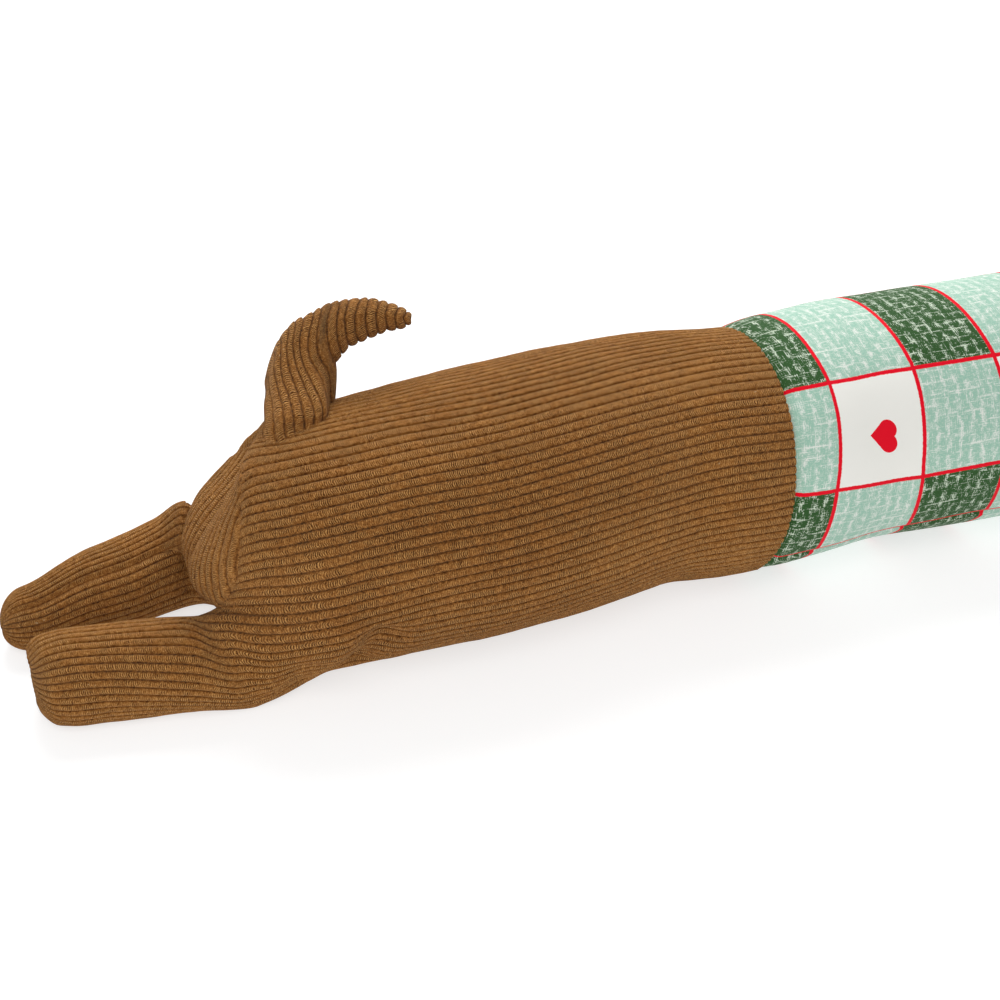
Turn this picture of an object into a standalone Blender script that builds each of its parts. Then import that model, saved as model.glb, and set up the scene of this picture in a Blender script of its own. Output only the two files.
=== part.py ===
"""Draught excluder in the form of a stuffed dog, lying on the floor and rolled a little onto its near side.

Metres, +Z up, +X towards the head, the near side at -Y. The origin is the middle of the underside.
Every cut panel is a filled wedge: its cloth outside, and flat faces behind it that run to a core
line inside the stuffing, so the panels of one tube meet along their seams and nowhere overlap.
"""

import math

import bmesh
import bpy
import numpy as np
from mathutils import Vector
from mathutils.bvhtree import BVHTree

# Driving dimensions.
LENGTH = 0.95
SEAM_GAP = 0.0003
SIDE_RIBS = 36
SEAT_RIBS = 21
LEG_RIBS = SIDE_RIBS - SEAT_RIBS
LEAF_RIBS = 11
RIB_HEIGHT = 0.0009
RING_SAMPLES = 720
LEG_TOP_SEAM = -36.0
TURN_SHARES = (0.28, 0.52, 0.76)
REAR_SEAM_X = -0.0816
SEAM_LEAN = 0.12
SEAM_LEAN_REACH = 0.05
COAT_END_X = 0.229
COAT_SIDES = 48
SEAT_CROWN = 0.019
LEG_BOTTOM_SEAM = 170.0
SEAT_COLUMNS = 16
TAIL_RIBS = 15
TAIL_LEAN = math.radians(25.0)
TAIL_HALF_THICKNESS = 0.0145
TAIL_TIP_THICKNESS = 0.45
TAIL_STEPS = 7
TAIL_INSET = 0.0006
TAIL_LEAST = 0.002
TAIL_SEAT = 0.0008
EYE_X = 0.418
EYE_ANGLE = 48.0
NOSE_HEIGHT = 0.031
SHARPEST_CORNER = 2.5
EAR_STEPS = 8
EAR_ROOT_ANGLE = 24.0
EAR_TIP_ANGLE = 98.0
EAR_X = 0.374
EAR_HALF_WIDTH = 0.0215
EAR_RIBS = 7
EAR_THICKNESS = 0.0065
EAR_RIM = 0.0022
EYE_RADII = (0.0045, 0.0052, 0.0052)
NOSE_RADII = (0.0080, 0.0125, 0.0095)
BUTTON_SIDES = 16
BUTTON_SEAT = 0.0007
EAR_SEAT = 0.0014
EAR_HANG = 0.005

NEAR = -1.0
FAR = 1.0

BROWN = (0.235, 0.125, 0.050, 1.0)
MINT = (0.42, 0.60, 0.50, 1.0)
BLACK = (0.012, 0.010, 0.009, 1.0)

# Sections of the lying tube: middle and half width across, height, half width of the flat
# underside, and the roll of the back seam in degrees, negative away from the near side.
SECTION_COLUMNS = ("x", "mid_y", "half_width", "height", "flat", "roll")
RUMP_SECTIONS = (
    (-0.3270, 0.0000, 0.0684, 0.1258, 0.0222, -26.0),
    (-0.2750, 0.0004, 0.0696, 0.1290, 0.0228, -31.0),
    (-0.2350, 0.0000, 0.0713, 0.1322, 0.0232, -35.0),
    (-0.1950, 0.0020, 0.0719, 0.1333, 0.0234, -39.0),
    (-0.1550, 0.0070, 0.0707, 0.1311, 0.0230, -42.0),
    (-0.1320, 0.0092, 0.0697, 0.1291, 0.0227, -42.0),
    (-0.1120, 0.0055, 0.0696, 0.1292, 0.0227, -42.0),
    (-0.0960, 0.0034, 0.0690, 0.1280, 0.0225, -42.0),
    (-0.0816, 0.0031, 0.0682, 0.1264, 0.0223, -42.0),
)
COAT_SECTIONS = (
    (-0.0816, 0.0031, 0.0690, 0.1280, 0.0224, -42.0),
    (-0.0650, 0.0034, 0.0702, 0.1302, 0.0228, -42.0),
    (-0.0350, 0.0052, 0.0708, 0.1312, 0.0230, -42.0),
    (-0.0150, 0.0070, 0.0706, 0.1309, 0.0230, -42.0),
    (0.0300, 0.0040, 0.0710, 0.1316, 0.0230, -42.0),
    (0.1400, 0.0000, 0.0708, 0.1312, 0.0230, -36.0),
    (0.2140, 0.0000, 0.0702, 0.1302, 0.0228, -20.0),
    (0.2290, 0.0000, 0.0690, 0.1280, 0.0224, -16.0),
)
FRONT_SECTIONS = (
    (0.229, 0.0000, 0.0684, 0.1268, 0.0223, -16.0),
    (0.252, 0.0000, 0.0705, 0.1305, 0.0230, -12.0),
    (0.280, 0.0000, 0.0670, 0.1240, 0.0220, -6.0),
    (0.312, 0.0000, 0.0560, 0.1060, 0.0200, 0.0),
    (0.345, 0.0000, 0.0530, 0.1050, 0.0190, 0.0),
    (0.380, 0.0000, 0.0540, 0.1080, 0.0190, 0.0),
    (0.412, 0.0000, 0.0470, 0.0930, 0.0170, 0.0),
    (0.436, 0.0000, 0.0350, 0.0690, 0.0130, 0.0),
    (0.452, 0.0000, 0.0290, 0.0580, 0.0110, 0.0),
)
FRONT_TIP_X = 0.467
RUMP_STEPS = (-0.327, -0.308, -0.285, -0.262, -0.235, -0.205, -0.178, -0.154, -0.132, -0.113, -0.098, -0.086)
COAT_STEPS = (-0.0770, -0.065, -0.045, -0.020, 0.020, 0.060, 0.100, 0.140, 0.180, 0.214, 0.2245)
FRONT_STEPS = (0.234, 0.252, 0.272, 0.292, 0.312, 0.335, 0.358, 0.380, 0.397, 0.412, 0.425, 0.436, 0.452)

# Seams round the seat, from the tail down to the crotch, and the near and far leg roots from
# the crotch over the leg to the underside.
POINT_COLUMNS = ("x", "y", "z")
NEAR_SEAT_SEAM = (
    (-0.334, 0.030, 0.1080),
    (-0.3435, 0.015, 0.1137),
    (-0.350, 0.000, 0.1150),
    (-0.355, -0.018, 0.1090),
    (-0.3595, -0.032, 0.0995),
    (-0.363, -0.038, 0.0860),
    (-0.3655, -0.036, 0.0700),
    (-0.3705, -0.025, 0.0525),
    (-0.371, -0.012, 0.0420),
)
FAR_SEAT_SEAM = (
    (-0.334, 0.030, 0.1080),
    (-0.341, 0.044, 0.1010),
    (-0.348, 0.055, 0.0880),
    (-0.355, 0.061, 0.0720),
    (-0.363, 0.056, 0.0600),
    (-0.3705, 0.041, 0.0525),
    (-0.371, 0.028, 0.0430),
)
NEAR_LEG_ROOT = (
    (-0.371, -0.012, 0.0420),
    (-0.374, -0.020, 0.0460),
    (-0.375, -0.031, 0.0490),
    (-0.373, -0.043, 0.0440),
    (-0.369, -0.0500, 0.0310),
    (-0.365, -0.051, 0.0130),
    (-0.362, -0.043, 0.0),
    (-0.361, -0.032, 0.0),
)
FAR_LEG_ROOT = (
    (-0.371, 0.028, 0.0430),
    (-0.374, 0.038, 0.0475),
    (-0.376, 0.052, 0.0550),
    (-0.374, 0.067, 0.0500),
    (-0.369, 0.077, 0.0330),
    (-0.365, 0.079, 0.0130),
    (-0.362, 0.070, 0.0),
    (-0.361, 0.056, 0.0),
)
CROTCH = (
    (-0.372, 0.008, 0.0370),
    (-0.368, 0.008, 0.0150),
    (-0.358, 0.004, 0.0),
)
# Sections of the stretched hind legs, and how far each foot reaches.
LEG_COLUMNS = ("x", "mid_y", "half_width", "height", "flat")
LEG_CORE_LEVELS = (0.28, 0.4, 0.5, 0.5)
NEAR_LEG = (
    (-0.390, -0.0270, 0.0240, 0.0453, 0.0110),
    (-0.405, -0.0238, 0.0241, 0.0457, 0.0110),
    (-0.430, -0.0190, 0.0240, 0.0455, 0.0108),
    (-0.4525, -0.0148, 0.0230, 0.0437, 0.0104),
)
NEAR_FOOT_X = -0.4665
FAR_LEG = (
    (-0.390, 0.0575, 0.0248, 0.0485, 0.0112),
    (-0.405, 0.0545, 0.0233, 0.0442, 0.0106),
    (-0.430, 0.0512, 0.0212, 0.0400, 0.0096),
    (-0.4580, 0.0472, 0.0170, 0.0322, 0.0076),
)
FAR_FOOT_X = -0.5 * LENGTH
# The front legs, stretched forward beside the head: positive sides of each row are mirrored.
FRONT_LEG = (
    (0.330, 0.0735, 0.0222, 0.0430, 0.0105),
    (0.365, 0.0795, 0.0228, 0.0436, 0.0107),
    (0.405, 0.0822, 0.0232, 0.0442, 0.0110),
    (0.4420, 0.0835, 0.0225, 0.0425, 0.0104),
)
FRONT_FOOT_X = 0.457
SHOULDER_SLANT = (-1.0, -0.6, 0.12)
SHOULDER_SEAT = -0.0004

# The tail's flat outline from its root on the back seam: along the back and up its lean.
TAIL_ROOT = (-0.3145, 0.0320, 0.1150)
TAIL_COLUMNS = ("along", "up")
TAIL_OUTER = (
    (-0.0185, -0.008),
    (-0.0170, 0.006),
    (-0.0135, 0.018),
    (-0.0095, 0.028),
    (-0.0045, 0.036),
    (0.0030, 0.0432),
    (0.0105, 0.0480),
    (0.0200, 0.0515),
    (0.0330, 0.0535),
    (0.0430, 0.0525),
    (0.0535, 0.0495),
    (0.0605, 0.0455),
    (0.0660, 0.0400),
)
TAIL_INNER = (
    (-0.0185, -0.008),
    (0.0210, -0.008),
    (0.0215, 0.010),
    (0.0230, 0.020),
    (0.0270, 0.0268),
    (0.0325, 0.0305),
    (0.0385, 0.0320),
    (0.0490, 0.0340),
    (0.0585, 0.0345),
    (0.0660, 0.0375),
)


def column(table, names, name):
    """One named column of a table."""
    index = names.index(name)
    return np.array([row[index] for row in table], float)


def smooth(xs, ys, x):
    """A smooth curve through the points (xs, ys), read at x; xs rise."""
    slopes = np.gradient(ys, xs)
    k = int(np.clip(np.searchsorted(xs, x) - 1, 0, len(xs) - 2))
    span = xs[k + 1] - xs[k]
    t = (x - xs[k]) / span
    start = (1 + 2 * t) * (1 - t) ** 2 * ys[k] + t * (1 - t) ** 2 * span * slopes[k]
    end = t * t * (3 - 2 * t) * ys[k + 1] + t * t * (t - 1) * span * slopes[k + 1]
    return start + end


def read_section(table, names, x):
    """The section at x as a dictionary, read smoothly between the table's rows."""
    order = np.argsort(column(table, names, "x"))
    xs = column(table, names, "x")[order]
    return {name: smooth(xs, column(table, names, name)[order], x) for name in names}


def section_points(section, angles, side):
    """Points round a section that lies flat on the floor; 0 degrees is its top."""
    contact = math.sqrt(1 - (section["flat"] / section["half_width"]) ** 2)
    semi = section["height"] / (1 + contact)
    y = section["mid_y"] + side * section["half_width"] * np.sin(angles)
    z = np.maximum(semi * contact + semi * np.cos(angles), 0.0)
    return np.column_stack([np.full(len(angles), section["x"]), y, z])


def even_points(path, count):
    """count points along a path, evenly spaced by length."""
    steps = np.linalg.norm(np.diff(path, axis=0), axis=1)
    length = np.concatenate([[0.0], np.cumsum(steps)])
    wanted = np.linspace(0.0, length[-1], count)
    return np.column_stack([np.interp(wanted, length, path[:, k]) for k in range(3)])


def arc(section, start, end, side, count):
    """count even points of a section between two angles in degrees."""
    angles = np.radians(np.linspace(start, end, RING_SAMPLES))
    return even_points(section_points(section, angles, side), count)


def curve(table, count):
    """count even points of a smooth curve through a table's points."""
    knots = np.array(table, float)
    steps = np.linalg.norm(np.diff(knots, axis=0), axis=1)
    length = np.concatenate([[0.0], np.cumsum(steps)])
    fine = np.linspace(0.0, length[-1], RING_SAMPLES)
    path = np.array([[smooth(length, knots[:, k], s) for k in range(3)] for s in fine])
    path[:, 2] = np.maximum(path[:, 2], 0.0)
    return even_points(path, count)


def lean_to_seam(points):
    """Tilt the rings near the coat's rear seam, whose top edge lies further forward."""
    near = np.exp(-(((points[:, 0] - REAR_SEAM_X) / SEAM_LEAN_REACH) ** 2))
    points[:, 0] += SEAM_LEAN * near * (points[:, 2] - 0.064)
    return points


def half_rings(table, steps, side, ribs):
    """Rows of points round one half of the tube, from the back seam to the belly seam."""
    rows = []
    for x in steps:
        section = read_section(table, SECTION_COLUMNS, x)
        roll = section["roll"]
        whole = lean_to_seam(arc(section, roll, roll + 360.0, NEAR, 4 * ribs + 1))
        half = whole[: 2 * ribs + 1] if side == NEAR else whole[::-1][: 2 * ribs + 1]
        rows.append(half)
    return np.array(rows)


def section_core(table, names, steps):
    """The core line: the middle of each section."""
    sections = [read_section(table, names, x) for x in steps]
    return np.array([[s["x"], s["mid_y"], 0.5 * s["height"]] for s in sections])


def raise_ribs(grid, outward, rows_full, height=RIB_HEIGHT):
    """Raise every second column of a grid; rows_full is each row's share of the rib height."""
    along = np.gradient(grid, axis=0)
    across = np.gradient(grid, axis=1)
    normal = np.cross(along, across)
    normal /= np.maximum(np.linalg.norm(normal, axis=2, keepdims=True), 1e-9)
    facing = np.sign(np.sum(normal * (grid - outward[:, None, :]), axis=2, keepdims=True))
    crest = np.zeros(grid.shape[:2])
    crest[:, 1::2] = height
    crest *= np.asarray(rows_full)[:, None]
    lying = grid[:, :, 2] < 1e-6
    raised = grid + normal * facing * crest[:, :, None]
    raised[:, :, 2] = np.maximum(raised[:, :, 2], 0.0)
    raised[lying] = grid[lying]
    return raised


class Solid:
    """Collects the points and faces of one closed piece."""

    def __init__(self):
        self.mesh = bmesh.new()

    def points(self, rows):
        rows = np.asarray(rows, float)
        if rows.ndim == 1:
            return self.mesh.verts.new(Vector(rows))
        return [self.points(row) for row in rows]

    def face(self, *corners):
        if len(set(corners)) == len(corners):
            self.mesh.faces.new(corners)

    def skin(self, grid):
        """Faces over a grid of points."""
        for low, high in zip(grid, grid[1:]):
            for k in range(len(low) - 1):
                self.face(low[k], low[k + 1], high[k + 1])
                self.face(low[k], high[k + 1], high[k])

    def fan(self, tip, edge):
        """Faces from one point to each stretch of an edge."""
        for a, b in zip(edge, edge[1:]):
            self.face(tip, a, b)

    def strip(self, edge, core):
        """Faces between an edge and a core line with as many points, cut the same way always."""
        for k in range(len(edge) - 1):
            self.face(edge[k], edge[k + 1], core[k + 1])
            self.face(edge[k], core[k + 1], core[k])

    def finish(self, name, colour, roughness, gap=SEAM_GAP):
        """Draw every face in by half the gap and make the object."""
        mesh = self.mesh
        bmesh.ops.recalc_face_normals(mesh, faces=mesh.faces[:])
        mesh.normal_update()
        lying = [vert for vert in mesh.verts if vert.co.z < SEAM_GAP]
        sharp = [min(vert.calc_shell_factor(), SHARPEST_CORNER) for vert in mesh.verts]
        moves = [vert.normal * (0.5 * gap * factor) for vert, factor in zip(mesh.verts, sharp)]
        for vert, move in zip(mesh.verts, moves):
            vert.co -= move
        for vert in lying:
            vert.co.z = 0.0
        data = bpy.data.meshes.new(name)
        mesh.to_mesh(data)
        mesh.free()
        data.shade_smooth()
        data.set_sharp_from_angle(angle=math.radians(40.0))
        thing = bpy.data.objects.new(name, data)
        bpy.context.scene.collection.objects.link(thing)
        data.materials.append(cloth(name + "_cloth", colour, roughness))
        return thing


def cloth(name, colour, roughness):
    """A plain material in the piece's colour."""
    material = bpy.data.materials.new(name)
    material.use_nodes = True
    shader = material.node_tree.nodes["Principled BSDF"]
    shader.inputs["Base Color"].default_value = colour
    shader.inputs["Roughness"].default_value = roughness
    shader.inputs["Metallic"].default_value = 0.0
    return material


def between(before, start, end, after, share):
    """A point of the smooth curve from start to end, led by its neighbours."""
    lead = 0.5 * (end - before)
    trail = 0.5 * (after - start)
    t = share
    return (
        (1 + 2 * t) * (1 - t) ** 2 * start
        + t * (1 - t) ** 2 * lead
        + t * t * (3 - 2 * t) * end
        + t * t * (t - 1) * trail
    )


def foot_rows(section, tip_x, start, end, side, count):
    """The last rings of a leg, closing round its blunt foot, and the point that ends it."""
    middle = np.array([section["x"], section["mid_y"], 0.5 * section["height"]])
    reach = section["x"] - tip_x
    ring = arc(section, start, end, side, count)
    rows = []
    cores = []
    for turn in (35.0, 62.0):
        size = math.cos(math.radians(turn)) ** 0.7
        shift = np.array([-reach * math.sin(math.radians(turn)), 0.0, 0.0])
        rows.append(middle + (ring - middle) * size + shift)
        cores.append(middle + shift * 0.6)
    return rows, cores, middle + np.array([-reach, 0.0, 0.0])


def leg_rows(table, tip_x, start, end, side, count):
    """Rings along a leg between two seams, with its core line and its tip."""
    rows = []
    cores = []
    for x, level in zip(column(table, LEG_COLUMNS, "x"), LEG_CORE_LEVELS):
        section = read_section(table, LEG_COLUMNS, x)
        rows.append(arc(section, start, end, side, count))
        cores.append(np.array([x, section["mid_y"], level * section["height"]]))
    last = read_section(table, LEG_COLUMNS, table[-1][0])
    end_rows, end_cores, tip = foot_rows(last, tip_x, start, end, side, count)
    return rows + end_rows, cores + end_cores, tip


def rump_rows(side):
    """The side panel's grid from the coat seam to the seat seam and the leg root."""
    seat = curve(NEAR_SEAT_SEAM if side == NEAR else FAR_SEAT_SEAM, 2 * SEAT_RIBS + 1)
    root = curve(NEAR_LEG_ROOT if side == NEAR else FAR_LEG_ROOT, 2 * LEG_RIBS + 1)
    end = np.vstack([seat, root[1:]])
    steps = sorted(RUMP_STEPS + (REAR_SEAM_X,), reverse=True)
    body = half_rings(RUMP_SECTIONS, steps, side, SIDE_RIBS)
    table = NEAR_LEG if side == NEAR else FAR_LEG
    leg = arc(read_section(table, LEG_COLUMNS, table[0][0]), LEG_TOP_SEAM, LEG_BOTTOM_SEAM, side, 2 * LEG_RIBS + 1)
    after = end + 0.4 * (end - body[-1]) + np.array([0.008, 0.0, 0.0])
    after[2 * SEAT_RIBS :] = leg
    turning = [between(body[-2], body[-1], end, after, share) for share in TURN_SHARES]
    turning = np.maximum(turning, [-LENGTH, -LENGTH, 0.0])
    return body, turning, end


def outer_leg(side):
    """The part of the leg that is cut in one with the side panel."""
    table, tip_x = (NEAR_LEG, NEAR_FOOT_X) if side == NEAR else (FAR_LEG, FAR_FOOT_X)
    return leg_rows(table, tip_x, LEG_TOP_SEAM, LEG_BOTTOM_SEAM, side, 2 * LEG_RIBS + 1)


def make_side(name, side):
    """One side of the rump with its outer hind leg."""
    body, turning, end = rump_rows(side)
    grid = np.vstack([body, turning, end[None]])
    leg, leg_core, tip = outer_leg(side)
    steps = sorted(RUMP_STEPS + (REAR_SEAM_X,), reverse=True)
    core = section_core(RUMP_SECTIONS, SECTION_COLUMNS, steps)
    hub = core[-1]
    middle = np.vstack([core, np.repeat(hub[None], len(grid) - len(core), axis=0)])
    body_share = [0.0] + [1.0] * (len(grid) - 2) + [0.0]
    ribbed = raise_ribs(grid, middle, body_share)
    low = 2 * SEAT_RIBS
    root_row = np.concatenate([grid[-1:, low:], np.array(leg)])
    leg_middle = np.vstack([[hub], leg_core])
    leg_share = [1.0] * (len(root_row) - 2) + [0.8, 0.5]
    leg_ribbed = raise_ribs(root_row, leg_middle, leg_share)
    ribbed[-1, low + 1 :] = leg_ribbed[0, 1:]

    solid = Solid()
    outer = solid.points(ribbed)
    line = solid.points(core)
    rings = [outer[-1][low:]] + solid.points(leg_ribbed[1:])
    leg_line = [line[-1]] + solid.points(leg_core)
    end_point = solid.points(tip)
    count = len(core)
    solid.skin(outer)
    solid.skin(rings)
    solid.fan(line[0], outer[0])
    for column_index in (0, -1):
        solid.strip([row[column_index] for row in outer[:count]], line)
        solid.fan(line[-1], [row[column_index] for row in outer[count - 1 :]])
        solid.strip([row[column_index] for row in rings], leg_line)
        solid.face(rings[-1][column_index], end_point, leg_line[-1])
    solid.fan(line[-1], outer[-1][: low + 1])
    solid.fan(end_point, rings[-1])
    return solid.finish(name, BROWN, 0.9)


def make_leaf(name, side):
    """The inner-leg panel: from the crotch along the inside of the leg to the foot."""
    body, turning, end = rump_rows(side)
    hub = section_core(RUMP_SECTIONS, SECTION_COLUMNS, [min(RUMP_STEPS)])[0]
    belly = [body[-1, -1], *turning[:, -1], end[-1]]
    crotch = curve(CROTCH + (tuple(belly[0]),), 7)
    top = end[2 * SEAT_RIBS]
    edge = [top, 0.5 * (top + crotch[0])] + list(crotch[:-1]) + belly
    fill = 2 * LEAF_RIBS + 1 - len(edge)
    front = []
    for a, b in zip(edge, edge[1:]):
        front.append(a)
        if len(front) > 2 and fill > 0:
            front.append(0.5 * (a + b))
            fill -= 1
    front.append(edge[-1])
    table, tip_x = (NEAR_LEG, NEAR_FOOT_X) if side == NEAR else (FAR_LEG, FAR_FOOT_X)
    rows, cores, tip = leg_rows(table, tip_x, LEG_TOP_SEAM, LEG_BOTTOM_SEAM - 360.0, side, 2 * LEAF_RIBS + 1)
    grid = np.concatenate([np.array(front)[None], np.array(rows)])
    middle = np.vstack([[hub], cores])
    ribbed = raise_ribs(grid, middle, [0.0] + [1.0] * (len(grid) - 3) + [0.8, 0.5])

    solid = Solid()
    outer = solid.points(ribbed)
    line = solid.points(middle)
    end_point = solid.points(tip)
    solid.skin(outer)
    solid.fan(line[0], outer[0])
    for column_index in (0, -1):
        solid.strip([row[column_index] for row in outer], line)
        solid.face(outer[-1][column_index], end_point, line[-1])
    solid.fan(end_point, outer[-1])
    return solid.finish(name, BROWN, 0.9)


def patch(upper, lower, left, right):
    """A surface that fills four curves."""
    rows, columns = len(left), len(upper)
    u = np.linspace(0.0, 1.0, columns)[None, :, None]
    v = np.linspace(0.0, 1.0, rows)[:, None, None]
    ruled = (1 - v) * upper[None] + v * lower[None] + (1 - u) * left[:, None] + u * right[:, None]
    corners = (1 - u) * (1 - v) * upper[0] + u * (1 - v) * upper[-1]
    corners = corners + (1 - u) * v * lower[0] + u * v * lower[-1]
    return ruled - corners


def make_seat():
    """The seat panel between the two sides, from the tail to the crotch."""
    near = curve(NEAR_SEAT_SEAM, 2 * SEAT_RIBS + 1)
    far = curve(FAR_SEAT_SEAM, 2 * SEAT_RIBS + 1)
    split = SEAT_COLUMNS
    upper = np.vstack([near[split::-1], far[1 : split + 1]])
    left = near[split:]
    right = far[split:]
    crotch = np.array(CROTCH[0])
    half = split + 1
    lower = np.vstack([
        np.linspace(near[-1], crotch, half),
        np.linspace(crotch, far[-1], half)[1:],
    ])
    grid = patch(upper, lower, left, right)
    u = np.linspace(0.0, 1.0, grid.shape[1])[None, :]
    v = np.linspace(0.0, 1.0, grid.shape[0])[:, None]
    crown = SEAT_CROWN * np.sin(math.pi * u) ** 0.8 * np.sin(math.pi * v ** 1.7) ** 1.2
    grid[:, :, 0] -= crown
    hub = section_core(RUMP_SECTIONS, SECTION_COLUMNS, [min(RUMP_STEPS)])[0]
    share = [0.0] + [1.0] * (grid.shape[0] - 2) + [0.0]
    ribbed = raise_ribs(grid, np.repeat(hub[None], grid.shape[0], axis=0), share)

    solid = Solid()
    outer = solid.points(ribbed)
    centre = solid.points(hub)
    solid.skin(outer)
    solid.fan(centre, outer[0])
    solid.fan(centre, outer[-1])
    solid.fan(centre, [row[0] for row in outer])
    solid.fan(centre, [row[-1] for row in outer])
    return solid.finish("seat_panel", BROWN, 0.9)


def make_coat():
    """The printed cotton tube round the middle of the body."""
    rows = []
    for x in (REAR_SEAM_X,) + COAT_STEPS + (COAT_END_X,):
        section = read_section(COAT_SECTIONS, SECTION_COLUMNS, x)
        rows.append(lean_to_seam(arc(section, 0.0, 360.0, NEAR, COAT_SIDES + 1)[:-1]))
    solid = Solid()
    outer = solid.points(np.array(rows))
    closed = [row + row[:1] for row in outer]
    solid.skin(closed)
    for row, x in ((closed[0], REAR_SEAM_X), (closed[-1], COAT_END_X)):
        middle = solid.points(section_core(COAT_SECTIONS, SECTION_COLUMNS, [x])[0])
        solid.fan(middle, row)
    return solid.finish("coat_tube", MINT, 0.85)


def make_front_side(name, side):
    """One side of the chest and head, cut in one."""
    steps = (COAT_END_X,) + FRONT_STEPS
    grid = half_rings(FRONT_SECTIONS, steps, side, SIDE_RIBS - 6)
    core = section_core(FRONT_SECTIONS, SECTION_COLUMNS, steps)
    share = [0.0] + [1.0] * (len(steps) - 2) + [0.6]
    ribbed = raise_ribs(grid, core, share)
    last = read_section(FRONT_SECTIONS, SECTION_COLUMNS, steps[-1])
    tip = np.array([FRONT_TIP_X, last["mid_y"], 0.5 * last["height"]])
    closing = core[-1] + (ribbed[-1] - core[-1]) * 0.62
    closing[:, 0] += 0.7 * (FRONT_TIP_X - steps[-1])

    solid = Solid()
    outer = solid.points(np.concatenate([ribbed, closing[None]]))
    line = solid.points(core)
    end_point = solid.points(tip)
    solid.skin(outer)
    solid.fan(line[0], outer[0])
    for column_index in (0, -1):
        edge = [row[column_index] for row in outer]
        solid.strip(edge[:-1], line)
        solid.face(edge[-2], edge[-1], line[-1])
        solid.face(edge[-1], end_point, line[-1])
    solid.fan(end_point, outer[-1])
    return solid.finish(name, BROWN, 0.9)


def surface_of(things):
    """The outside of some finished pieces, to seat others on."""
    points = []
    faces = []
    for thing in things:
        offset = len(points)
        points += [vert.co.copy() for vert in thing.data.vertices]
        faces += [[offset + index for index in polygon.vertices] for polygon in thing.data.polygons]
    return BVHTree.FromPolygons(points, faces)


def seat_height(tree, start, direction, spread=0.003):
    """How far along direction a point can go before it lies on the surface, ribs and all."""
    start = Vector(start)
    direction = Vector(direction).normalized()
    side = direction.orthogonal().normalized()
    other = direction.cross(side)
    reaches = []
    for shift in (Vector(), side * spread, -side * spread, other * spread, -other * spread):
        hit = tree.ray_cast(start + shift, direction)
        if hit[0] is not None:
            reaches.append(hit[3])
    return min(reaches) if reaches else None


def seated(tree, spot, direction, back=0.03, clear=SEAM_GAP):
    """The point on the surface below a spot, or the spot itself where nothing lies below."""
    direction = np.array(direction, float)
    direction /= np.linalg.norm(direction)
    start = np.array(spot, float) - direction * back
    reach = seat_height(tree, start, direction)
    return np.array(spot, float) if reach is None else start + direction * (reach - clear)


def tail_bulk(reach):
    """The tail's half thickness, full at the root and thinner towards the tip."""
    taper = 1 - (1 - TAIL_TIP_THICKNESS) * reach
    return TAIL_HALF_THICKNESS * taper * math.sin(math.pi * (0.05 + 0.93 * reach)) ** 0.45


def tail_plane(side):
    """The tail's own directions: up its lean, and out of one of its faces."""
    up = np.array([0.0, math.sin(TAIL_LEAN), math.cos(TAIL_LEAN)])
    thick = np.array([0.0, math.cos(TAIL_LEAN), -math.sin(TAIL_LEAN)]) * side
    return up, thick


def tail_foot(tree, place, out, side):
    """How high up its own lean a face of the tail starts, at a place along the back."""
    inner = np.array(TAIL_INNER)
    foot = np.interp(place, inner[:, 0], inner[:, 1])
    if place >= TAIL_INNER[1][0]:
        return foot
    up, thick = tail_plane(side)
    spot = np.array(TAIL_ROOT) + np.array([place, 0.0, 0.0])
    landed = seated(tree, spot + up * foot + thick * out, -up, clear=TAIL_SEAT)
    return float(np.dot(landed - spot, up))


def tail_line(tree, place, side, crest):
    """One line of points up a face of the tail, from its foot or inner edge to its outer edge."""
    outer = np.array(TAIL_OUTER)
    up, thick = tail_plane(side)
    spot = np.array(TAIL_ROOT) + np.array([place, 0.0, 0.0])
    reach = (place - outer[0, 0]) / (outer[-1, 0] - outer[0, 0])
    half = tail_bulk(reach)
    standing = place < TAIL_INNER[1][0]
    foot = tail_foot(tree, place, half + crest, side)
    top = max(smooth(outer[:, 0], outer[:, 1], place), foot + TAIL_LEAST) + crest
    points = []
    for share in np.linspace(0.0, 1.0, TAIL_STEPS):
        bow = 1 - share ** 3 if standing else 1 - (2 * share - 1) ** 2
        out = half * math.sqrt(max(bow, 0.0))
        out += crest if out > 0 else 0.0
        points.append(spot + up * (foot + (top - foot) * share) + thick * out)
    return points


def make_tail(tree):
    """The crescent tail: two ribbed faces joined along its outline, standing on the back seam."""
    first, last = TAIL_OUTER[0][0] + TAIL_INSET, TAIL_OUTER[-1][0] - TAIL_INSET
    near = []
    far = []
    foot = []
    solid = Solid()
    for index, place in enumerate(np.linspace(first, last, 2 * TAIL_RIBS + 1)):
        crest = RIB_HEIGHT if index % 2 else 0.0
        near_line = solid.points(np.array(tail_line(tree, place, NEAR, crest)))
        far_points = np.array(tail_line(tree, place, FAR, crest))
        if place < TAIL_INNER[1][0]:
            up = tail_plane(NEAR)[0]
            spot = np.array(TAIL_ROOT) + np.array([place, 0.0, 0.0])
            foot.append(solid.points(spot + up * tail_foot(tree, place, 0.0, NEAR)))
            shared = (TAIL_STEPS - 1,)
        else:
            foot.append(near_line[0])
            shared = (0, TAIL_STEPS - 1)
        far_line = [
            near_line[k] if k in shared else solid.points(point) for k, point in enumerate(far_points)
        ]
        near.append(near_line)
        far.append(far_line)
    solid.skin(near)
    solid.skin(far)
    solid.skin([[line[0] for line in near], foot])
    solid.skin([foot, [line[0] for line in far]])
    solid.face(foot[0], near[0][0], near[0][1])
    solid.face(foot[0], near[0][1], far[0][1])
    solid.face(foot[0], far[0][1], far[0][0])
    solid.skin([near[0][1:], far[0][1:]])
    solid.skin([near[-1], far[-1]])
    return solid.finish("tail", BROWN, 0.9, gap=0.0)


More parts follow.
